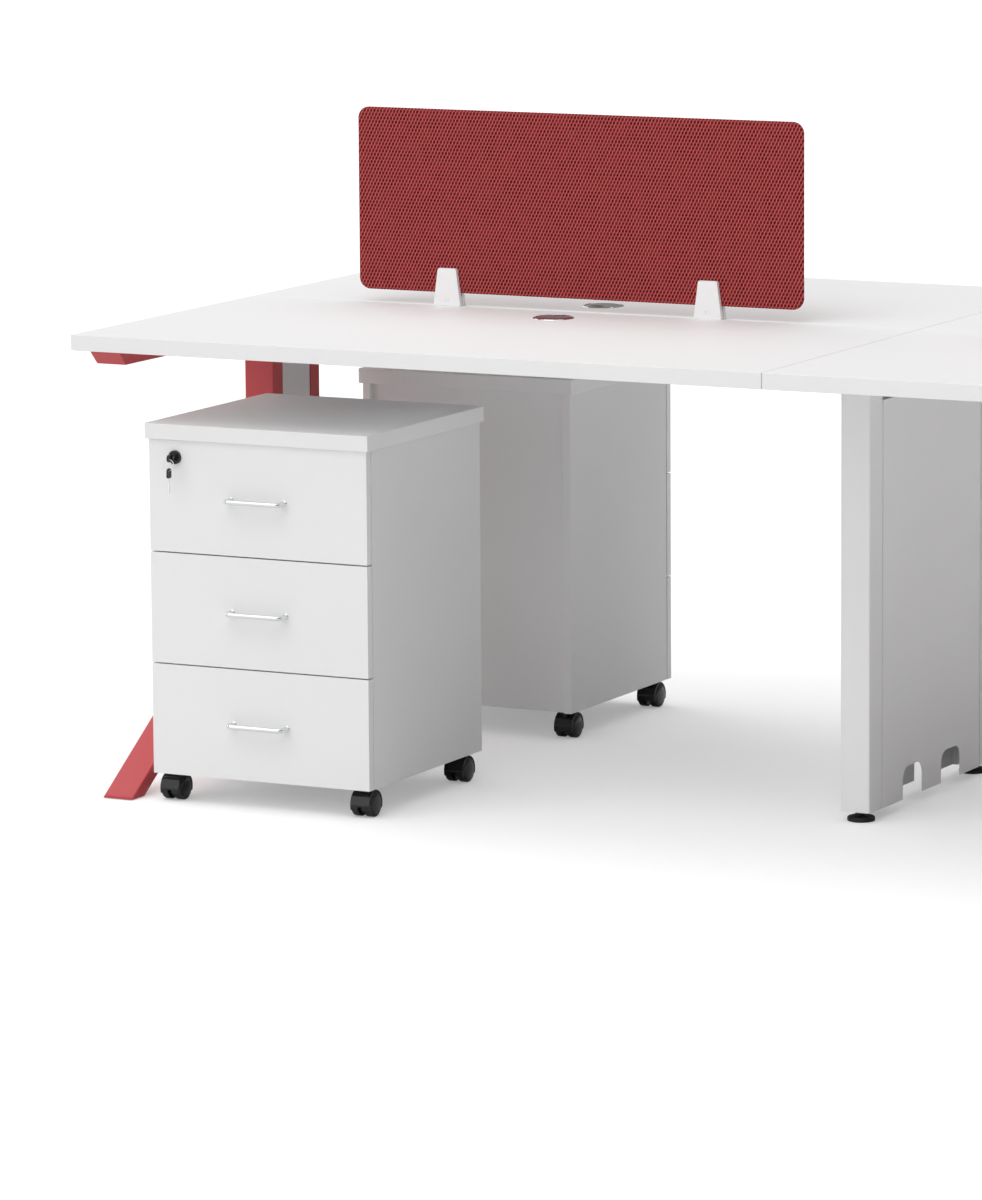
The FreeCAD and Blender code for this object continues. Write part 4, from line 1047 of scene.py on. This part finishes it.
half = block(
    "clamp_half", (-CLAMP_FOOT, -CLAMP_DEPTH, DESK_HEIGHT),
    (CLAMP_FOOT, 0, DESK_HEIGHT + CLAMP_HEIGHT),
)
for side in (-1, 1):
    pull(
        half, lambda v: v.co[X] * side > 0 and v.co[Z] > DESK_HEIGHT + 1 * MM,
        (side * (CLAMP_HEAD - CLAMP_FOOT), 0, 0),
    )
top_of_clamp = DESK_HEIGHT + CLAMP_HEIGHT
round_edges(half, lambda e: runs(e, Y) and centre(e)[Z] > top_of_clamp - 1 * MM, 3 * MM, 5)
round_edges(half, lambda e: runs(e, Y) and centre(e)[Z] < DESK_HEIGHT + 1 * MM, 1.5 * MM, 3)
round_edges(
    half, lambda e: all(abs(v.co[Y] + CLAMP_DEPTH) < 0.01 * MM for v in e.verts), 0.7 * MM, 3,
)
slot = block(
    "slot_cutter", (-2 * CLAMP_FOOT, -SCREEN_HALF, DESK_HEIGHT + CLAMP_SLOT_FLOOR),
    (2 * CLAMP_FOOT, CLAMP_DEPTH, top_of_clamp + CLAMP_DEPTH),
)
cut_out(half, slot)
for side in (-1, 1):
    near, far = sorted((side * (CLAMP_FOOT - 7 * MM), side * (CLAMP_FOOT + 1 * MM)))
    relief = block(
        "relief_cutter", (near, -2 * MM, DESK_HEIGHT + 2 * MM),
        (far, CLAMP_DEPTH, DESK_HEIGHT + CLAMP_SLOT_FLOOR + 1 * MM),
    )
    cut_out(half, relief)
dimple = turned("dimple_cutter", [(DIMPLE_MM, 0), (DIMPLE_MM, 2)], sides=32)
lay_along(dimple, Y, y=-CLAMP_DEPTH - 1 * MM, z=DESK_HEIGHT + CLAMP_SCREW_Z)
cut_out(half, dimple)
back_half = placed(half, "back_half", turn=math.pi)
clamp = join("clamp", [half, back_half])
finish(clamp, white_plastic)

screw_cap = turned("screw_cap", [(3.7, 0), (3.7, 0.4), (3.3, 0.7), (1.5, 0.8)], sides=32)
front_cap = placed(screw_cap, "front_cap")
lay_along(front_cap, Y)
front_cap.data.transform(Matrix.Rotation(math.pi, 4, "Z"))
front_cap.data.transform(
    Matrix.Translation((0, -CLAMP_DEPTH + 1 * MM, DESK_HEIGHT + CLAMP_SCREW_Z))
)
caps = join("clamp_screw_caps", [front_cap, placed(front_cap, "back_cap", turn=math.pi)])
finish(caps, white_plastic)
discard(screw_cap)
CLAMP_OFFSET = 235 * MM
for bay, bay_x in BAYS:
    for end, end_x in (("left", -CLAMP_OFFSET), ("right", CLAMP_OFFSET)):
        name = f"{bay}_screen_{end}_clamp"
        put_away(placed(clamp, name, x=bay_x + end_x), "desk", "white_powder_coat", "screen_clamps")
        put_away(
            placed(caps, f"{name}_screw", x=bay_x + end_x), "desk", "bare_steel",
            "screen_clamp_screws",
        )
discard(clamp, caps)

# %% [markdown]
# ## Cable grommets
# A chromed rim slopes down to the worktop round each cable hole, on a black sleeve. A satin cap
# lies inside it on a ledge, with a round bite towards the screen for the cables.

# %% Grommet rings and caps
SLEEVE = 28.2 * MM
ring = turned(
    "grommet_ring",
    [
            (28, 1.8), (28.4, 2.1), (29.8, 2.1), (33.6, 0.8), (34, 0.1), (33.8, 0), (30, 0),
            (30, -20), (28, -20), (28, -4), (26, -4), (26, -2), (28, -2), (28, 1.8),
        ],
    sides=96, closed=True,
)
paint(ring, chrome, matt_nylon)
for face in ring.data.polygons:
    if face.center.xy.length < SLEEVE and face.center[Z] < 1.7 * MM:
        face.material_index = 1
smooth(ring)
cap = turned(
    "grommet_cap", [(27.4, -2), (27.7, -1.7), (27.7, 1.5), (27.3, 1.9), (1, 1.95)], sides=96,
)
GROMMET_CAP = 27.7 * MM
BITE_RADIUS_MM = 15
BITE_DEPTH = 12 * MM
bite = turned("bite_cutter", [(BITE_RADIUS_MM, -4), (BITE_RADIUS_MM, 4)], sides=64)
bite.data.transform(Matrix.Translation((0, GROMMET_CAP - BITE_DEPTH + BITE_RADIUS_MM * MM, 0)))
cut_out(cap, bite)
paint(cap, satin_nickel, matt_nylon)
for face in cap.data.polygons:
    if abs(face.normal[Z]) < 0.1 and face.center.xy.length < GROMMET_CAP - 1 * MM:
        face.material_index = 1
smooth(cap)
grommet = join("grommet", [ring, cap])
for row, side, turn in (("front", -1, 0), ("rear", 1, math.pi)):
    for bay, x in BAYS:
        one = placed(
            grommet, f"{row}_{bay}_cable_grommet", x, side * GROMMET_SETBACK, DESK_HEIGHT, turn
        )
        put_away(one, "desk", "chrome", "cable_grommets")
discard(grommet)

# %% [markdown]
# ## Pedestals
# Both pedestals are the same piece of furniture, one of them turned round. Everything is drawn
# once with the pedestal's middle at the origin and its drawers to the front, then copied to each
# pedestal's place. The places come from the engineering model.

# %% Places of the pedestals
def middle_of(node):
    low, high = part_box(node)
    return (low[X] + high[X]) / 2, (low[Y] + high[Y]) / 2


PEDESTALS = {
    "front_pedestal": (*middle_of("front_pedestal_top"), 0),
    "rear_pedestal": (*middle_of("rear_pedestal_cabinet"), math.pi),
}


def hand_out(piece, name, body, slot, front_nodes, rear_nodes):
    """Put a copy of a piece in both pedestals and discard the pattern."""
    for pedestal, nodes in (("front_pedestal", front_nodes), ("rear_pedestal", rear_nodes)):
        x, y, turn = PEDESTALS[pedestal]
        copy = placed(piece, f"{pedestal}_{name}", x, y, 0, turn)
        put_away(
            copy, f"{pedestal}_{body}" if body else pedestal, slot,
            *[f"{pedestal}_{node}" for node in nodes],
        )
    discard(piece)


# %% [markdown]
# The cabinet is white melamine board: a 25 mm top that stands 5 mm proud all round, 15 mm sides
# and base, and a thin back set in between the sides. The top has a slot underneath, which the
# lock's tongue turns up into.

# %% Cabinet
PEDESTAL_HALF = 200 * MM
PEDESTAL_HEIGHT = 610 * MM
CAP_BOTTOM = 585 * MM
BODY_HALF = 195 * MM
BOARD = 15 * MM
CABINET_FRONT = -BODY_HALF + BOARD + 2.6 * MM
CABINET_LOW = 46 * MM
BACK_BOARD = 9 * MM
BACK_FACE = 177 * MM
LOCK_X = -147 * MM
LOCK_Z = 557.5 * MM

top = banded_board(
    "pedestal_top", (-PEDESTAL_HALF, -PEDESTAL_HALF, CAP_BOTTOM),
    (PEDESTAL_HALF, PEDESTAL_HALF, PEDESTAL_HEIGHT), 1 * MM,
)
tongue_slot = block(
    "tongue_slot", (LOCK_X - 6 * MM, -166 * MM, CAP_BOTTOM - 1 * MM),
    (LOCK_X + 18.1 * MM, -162 * MM, CAP_BOTTOM + 5.5 * MM),
)
cut_out(top, tongue_slot)
smooth(top)
hand_out(top, "top_board", "", "white_laminate_board", ["top"], ["cabinet"])

right_side = banded_board(
    "right_side", (BODY_HALF - BOARD, CABINET_FRONT, CABINET_LOW),
    (BODY_HALF, BODY_HALF, CAP_BOTTOM), 1.2 * MM,
)
left_side = placed(right_side, "left_side", x=BOARD - 2 * BODY_HALF)
sides = join("sides", [right_side, left_side])
hand_out(sides, "side_boards", "", "white_laminate_board", ["sides"], ["cabinet"])

INSIDE = BODY_HALF - BOARD
back = banded_board(
    "back", (-INSIDE, BACK_FACE, CABINET_LOW),
    (INSIDE, BACK_FACE + BACK_BOARD, CAP_BOTTOM), 0.4 * MM
)
hand_out(back, "back_board", "", "white_laminate_board", ["back"], ["cabinet"])
base = banded_board(
    "base", (-INSIDE, CABINET_FRONT, CABINET_LOW), (INSIDE, BACK_FACE, CABINET_LOW + BOARD)
)
hand_out(base, "base_board", "", "white_laminate_board", ["base"], ["cabinet"])

# %% [markdown]
# The drawer rails stay as they are in the engineering model, folded angles of plain steel, and
# only get their zinc finish.

# %% Rails
for pedestal in PEDESTALS:
    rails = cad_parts[f"{pedestal}_drawer_runners"]
    paint(rails, zinc_steel)
    print("painted", rails.name)

# %% [markdown]
# ## Drawers
# The front panel of a drawer covers the cabinet's edges, and 2 mm gaps divide the three fronts.
# Behind it sits a box of thinner boards. The top front is bored for the lock.

# %% Fronts and boxes
PITCH = (CAP_BOTTOM - CABINET_LOW) / 3
FRONT_HEIGHT = PITCH - 2 * MM
TOP_GAP = 0.6 * MM
BOX_HALF = 167.5 * MM
BOX_BOARD = 12 * MM
BOX_BACK = 165 * MM
BOX_LIFT = 25 * MM
BOX_HEIGHT = PITCH - 70 * MM
BARREL = 9 * MM


def drawer_box(low):
    """Five boards: two sides, an inner front, a back and a floor."""
    front = -BODY_HALF + BOARD
    inner = BOX_HALF - BOX_BOARD
    high = low + BOX_HEIGHT
    parts = [
        banded_board("left", (-BOX_HALF, front, low), (-inner, BOX_BACK, high), 0.5 * MM),
        banded_board("right", (inner, front, low), (BOX_HALF, BOX_BACK, high), 0.5 * MM),
        banded_board("front", (-inner, front, low), (inner, front + BOX_BOARD, high), 0.5 * MM),
        banded_board("rear", (-inner, BOX_BACK - BOX_BOARD, low),
                     (inner, BOX_BACK, high), 0.5 * MM),
        banded_board(
            "floor", (-inner, front + BOX_BOARD, low + 2 * MM),
            (inner, BOX_BACK - BOX_BOARD, low + 7 * MM), 0.3 * MM,
        ),
    ]
    return join("drawer_box", parts)


LEVELS = {"bottom": 0, "middle": 1, "top": 2}
for level, steps in LEVELS.items():
    low = CABINET_LOW + steps * PITCH
    high = CAP_BOTTOM - TOP_GAP if level == "top" else low + FRONT_HEIGHT
    panel = banded_board(
        "drawer_front", (-BODY_HALF, -BODY_HALF, low), (BODY_HALF, -BODY_HALF + BOARD, high)
    )
    if level == "top":
        bore = rod("bore", (LOCK_X, -BODY_HALF - 5 * MM, LOCK_Z), Y, BARREL, BOARD + 10 * MM, 48)
        cut_out(panel, bore)
        smooth(panel)
    body = f"{level}_drawer"
    slot = "white_laminate_board"
    hand_out(panel, f"{body}_panel", body, slot, [f"{body}_front"], [body])
    hand_out(drawer_box(low + BOX_LIFT), f"{body}_inner_box", body, slot, [f"{body}_box"], [body])

# %% [markdown]
# ## Handles
# A bow handle is one chromed rod, bent twice through a quarter turn, with a small foot at each
# end. A ring the size of the rod is pulled out of the foot, spun through the bend, pulled along
# the grip and spun back, as a tube bender would form it.

# %% Bow handle
HANDLE_HALF = 48 * MM
HANDLE_REACH = 25 * MM
HANDLE_ROD = 4.25 * MM
HANDLE_BEND = 7 * MM
FACE = -BODY_HALF


def bow_handle(z):
    leg = HANDLE_REACH - HANDLE_ROD - HANDLE_BEND
    bpy.ops.object.select_all(action="DESELECT")
    bpy.ops.mesh.primitive_circle_add(
        vertices=20, radius=HANDLE_ROD, location=(-HANDLE_HALF, FACE, z),
        rotation=(math.pi / 2, 0, 0)
    )
    bow = settle(bpy.context.object, "bow")
    choose(bow, "EDGE", lambda e: True)
    extrude((0, -leg, 0))
    corner = (-HANDLE_HALF + HANDLE_BEND, FACE - leg, z)
    bpy.ops.mesh.spin(steps=8, angle=math.pi / 2, center=corner, axis=(0, 0, -1))
    extrude((2 * (HANDLE_HALF - HANDLE_BEND), 0, 0))
    corner = (HANDLE_HALF - HANDLE_BEND, FACE - leg, z)
    bpy.ops.mesh.spin(steps=8, angle=math.pi / 2, center=corner, axis=(0, 0, -1))
    extrude((0, leg, 0))
    bpy.ops.mesh.select_all(action="SELECT")
    bpy.ops.mesh.remove_doubles(threshold=0.01 * MM)
    bpy.ops.mesh.fill_holes(sides=0)
    close_outwards()
    feet = []
    for side in (-1, 1):
        foot = turned("foot", [(5.6, 0), (5.6, 1), (5.2, 1.5), (4.6, 1.7)], sides=32)
        lay_along(foot, Y)
        foot.data.transform(
            Matrix.Translation((side * HANDLE_HALF, FACE, z)) @ Matrix.Rotation(math.pi, 4, "Z")
        )
        feet.append(foot)
    handle = join("bow_handle", [bow, *feet])
    reach = [round(v / MM, 1) for v in handle.dimensions]
    print("handle measures", reach, "mm")
    finish(handle, chrome)
    return handle


for level, steps in LEVELS.items():
    z = CABINET_LOW + steps * PITCH + FRONT_HEIGHT / 2
    body = f"{level}_drawer"
    hand_out(bow_handle(z), f"{body}_bow_handle", body, "chrome",
             [f"{body}_handle"], [f"{body}_handle"])

# %% [markdown]
# ## Lock and keys
# The lock is a black barrel with a low rim. The plug in it turns with the key and swings the
# tongue behind the panel. The key's flat black bow stands on edge, and a spare key hangs from it
# on a split ring, which is two turns of thin wire. The ring stands across the bows, so that it goes
# through their eyes. The tongue is only as long as the slot in the top board has room for.

# %% Barrel
LOCK_PLACE = (LOCK_X, FACE, LOCK_Z)
barrel = turned(
    "lock_barrel",
    [
            (6.1, -4.2), (6.6, -4.8), (9.4, -5), (10.4, -4.6), (11, -3.6), (11, 0), (9, 0),
            (9, 28.5), (6.1, 28.5), (6.1, -4.2),
        ],
    closed=True,
)
lay_along(barrel, Y, *LOCK_PLACE)
finish(barrel, black_nylon)
hand_out(barrel, "lock_barrel", "top_drawer", "black_plastic", ["lock"], ["lock"])

# %% Plug, tongue and keys
plug = turned("plug", [(5.4, -5.5), (5.95, -5), (5.95, 30)])
lay_along(plug, Y)
TONGUE_REACH = 32 * MM
tongue = block("tongue", (-5 * MM, 30 * MM, -5 * MM), (TONGUE_REACH, 32 * MM, 5 * MM))
round_edges(tongue, lambda e: runs(e, Y), 2 * MM, 3)
keyway = block("keyway", (-1.1 * MM, -7 * MM, -2.6 * MM), (1.1 * MM, 13 * MM, 2.6 * MM))
cut_out(plug, keyway)
paint(plug, black_nylon)
paint(tongue, zinc_steel)

BOW_BACK = -10 * MM
BOW_FRONT = -26 * MM
EYE_Y = -21 * MM
EYE_RADIUS = 3 * MM
BLADE_LENGTH = 25 * MM
BLADE_START = BOW_BACK - 2 * MM
BLADE_SLICES = 12
RING_RADIUS = 9 * MM
RING_DROP = -10.1 * MM
WIRE_RADIUS = 0.4 * MM


def key():
    bow = block("bow", (-1.5 * MM, BOW_FRONT, -6 * MM), (1.5 * MM, BOW_BACK, 6 * MM))
    round_edges(bow, lambda e: runs(e, X) and centre(e)[Y] < EYE_Y, 5.4 * MM, 8)
    round_edges(bow, lambda e: runs(e, X) and centre(e)[Y] > BOW_BACK - 0.1 * MM, 3 * MM, 4)
    round_edges(bow, lambda e: abs(e.verts[0].co[X] - e.verts[1].co[X]) < 0.01 * MM, 0.5 * MM, 2)
    eye = rod("eye", (-5 * MM, EYE_Y, 0), X, EYE_RADIUS, 10 * MM, 24)
    cut_out(bow, eye)
    paint(bow, black_nylon)
    blade = block(
        "blade", (-0.7 * MM, BLADE_START, -2 * MM), (0.7 * MM, BLADE_START + BLADE_LENGTH, 2 * MM)
    )
    choose(blade, "EDGE", lambda e: runs(e, Y))
    bpy.ops.mesh.subdivide(number_cuts=BLADE_SLICES - 1)
    back_to_object()
    step = BLADE_LENGTH / BLADE_SLICES

    def is_notch(v):
        slice_number = round((v.co[Y] - BLADE_START) / step)
        return v.co[Z] < 0 and slice_number > 3 and slice_number % 2

    pull(blade, is_notch, (0, 0, 1.1 * MM))
    paint(blade, nickel_silver)
    whole = join("key", [bow, blade])
    smooth(whole)
    return whole


first_key = key()
spare = placed(first_key, "spare")
spare.data.transform(
    Matrix.Translation((0, EYE_Y, EYE_Y + 2 * RING_DROP)) @ Matrix.Rotation(-math.pi / 2, 4, "X")
)
turns_of_wire = []
for shift in (-0.35, 0.35):
    bpy.ops.object.select_all(action="DESELECT")
    bpy.ops.mesh.primitive_torus_add(
        major_radius=RING_RADIUS, minor_radius=WIRE_RADIUS, major_segments=48, minor_segments=8,
        location=(0, EYE_Y + shift * MM, RING_DROP), rotation=(math.pi / 2, 0, 0),
    )
    turns_of_wire.append(settle(bpy.context.object, "wire"))
split_ring = join("split_ring", turns_of_wire)
finish(split_ring, nickel_silver)
turning = join("lock_and_keys", [plug, tongue, first_key, spare, split_ring])
turning.data.transform(Matrix.Translation(LOCK_PLACE))
smooth(turning)
hand_out(turning, "plug_and_keys", "lock_plug", "chrome", ["keys"], ["keys"])

# %% [markdown]
# ## Castors
# A twin-wheel castor has a glossy black hood over two wheels on one axle, and a steel stem that
# swivels in the pedestal's base. The hood is a thick-walled barrel, cut open at the sides and
# below. A web stays between the wheels, and a notch at the front shows it. A flat across the
# hood's front faces a little upwards and catches the lamp.

# %% Hood and stem
AXLE_Y = -12 * MM
AXLE_Z = 20 * MM
HOOD_HALF = 17 * MM
HOOD_OUT = 23.5 * MM
HOOD_IN = 21 * MM
WEB_HALF = 4 * MM
HOOD_FLAT = 22.6 * MM
FLAT_TILT = math.radians(20)

hood = rod("hood", (-HOOD_HALF, AXLE_Y, AXLE_Z), X, HOOD_OUT, 2 * HOOD_HALF, 64)
round_edges(hood, lambda e: not runs(e, X), 1.2 * MM, 3)
flat = block("flat_cutter", (-20 * MM, -40 * MM, -20 * MM), (20 * MM, -HOOD_FLAT, 20 * MM))
flat.data.transform(Matrix.Translation((0, AXLE_Y, AXLE_Z)) @ Matrix.Rotation(-FLAT_TILT, 4, "X"))
cut_out(hood, flat)
for side in (-1, 1):
    low_x, high_x = sorted((side * WEB_HALF, side * (HOOD_HALF + 5 * MM)))
    room = rod("wheel_room", (low_x, AXLE_Y, AXLE_Z), X, HOOD_IN, high_x - low_x, 64)
    cut_out(hood, room)
below = block("below", (-0.05, -0.05, -0.05), (0.05, 0.05, 12 * MM))
cut_out(hood, below)
notch = block(
    "notch", (-3.8 * MM, AXLE_Y - HOOD_OUT - 2 * MM, 0),
    (3.8 * MM, AXLE_Y - HOOD_OUT + 9 * MM, 18 * MM)
)
cut_out(hood, notch)
neck = turned(
    "neck", [(5, 30), (5, 40), (8, 41.5), (8, 44.6), (7.4, 45.2), (4, 45.2), (4, 57)], sides=32,
)
castor_hood = join("castor_hood", [hood, neck])
paint(castor_hood, black_nylon, zinc_steel)
for face in castor_hood.data.polygons:
    if face.center[Z] > 45.3 * MM:
        face.material_index = 1
smooth(castor_hood)

# %% [markdown]
# Each wheel is a hard tread with a rounded shoulder. Its outer side is a domed disc with a fine
# groove round it, which closes the hood's open side.

# %% Wheels
wheel = turned(
    "wheel",
    [
            (2.6, 4.5), (18.6, 4.5), (19.6, 5), (20, 6), (20, 15.6), (19.6, 16.8), (18.6, 17.6),
            (16.9, 18.1), (16.5, 17.3), (15.9, 17.3), (15.5, 18.4), (12, 19.3), (7, 19.8), (2, 20),
        ],
)
right_wheel = placed(wheel, "right_wheel")
lay_along(right_wheel, X, 0, 0, 0)
left_wheel = placed(right_wheel, "left_wheel", turn=math.pi)
axle = rod("axle", (-18 * MM, 0, 0), X, 2.5 * MM, 36 * MM, 16)
wheels = join("castor_wheels", [right_wheel, left_wheel, axle])
wheels.data.transform(Matrix.Translation((0, AXLE_Y, AXLE_Z)))
finish(wheels, black_nylon)
discard(wheel)

CASTOR_X = 172 * MM
CASTOR_FRONT = -151 * MM
CASTOR_BACK = 171 * MM
for corner, x, y in (
    ("front_left", -CASTOR_X, CASTOR_FRONT),
    ("front_right", CASTOR_X, CASTOR_FRONT),
    ("back_left", -CASTOR_X, CASTOR_BACK),
    ("back_right", CASTOR_X, CASTOR_BACK),
):
    hood_copy = placed(castor_hood, "hood_copy", x, y)
    fork = f"{corner}_castor_fork"
    hand_out(hood_copy, f"{corner}_castor_hood", f"{corner}_castor",
             "black_plastic", [fork], [fork])
    wheels_copy = placed(wheels, "wheels_copy", x, y)
    pair = f"{corner}_castor_wheels"
    hand_out(
        wheels_copy, f"{corner}_castor_wheel_pair", f"{corner}_wheel",
        "black_plastic", [pair], [pair]
    )
discard(castor_hood, wheels)
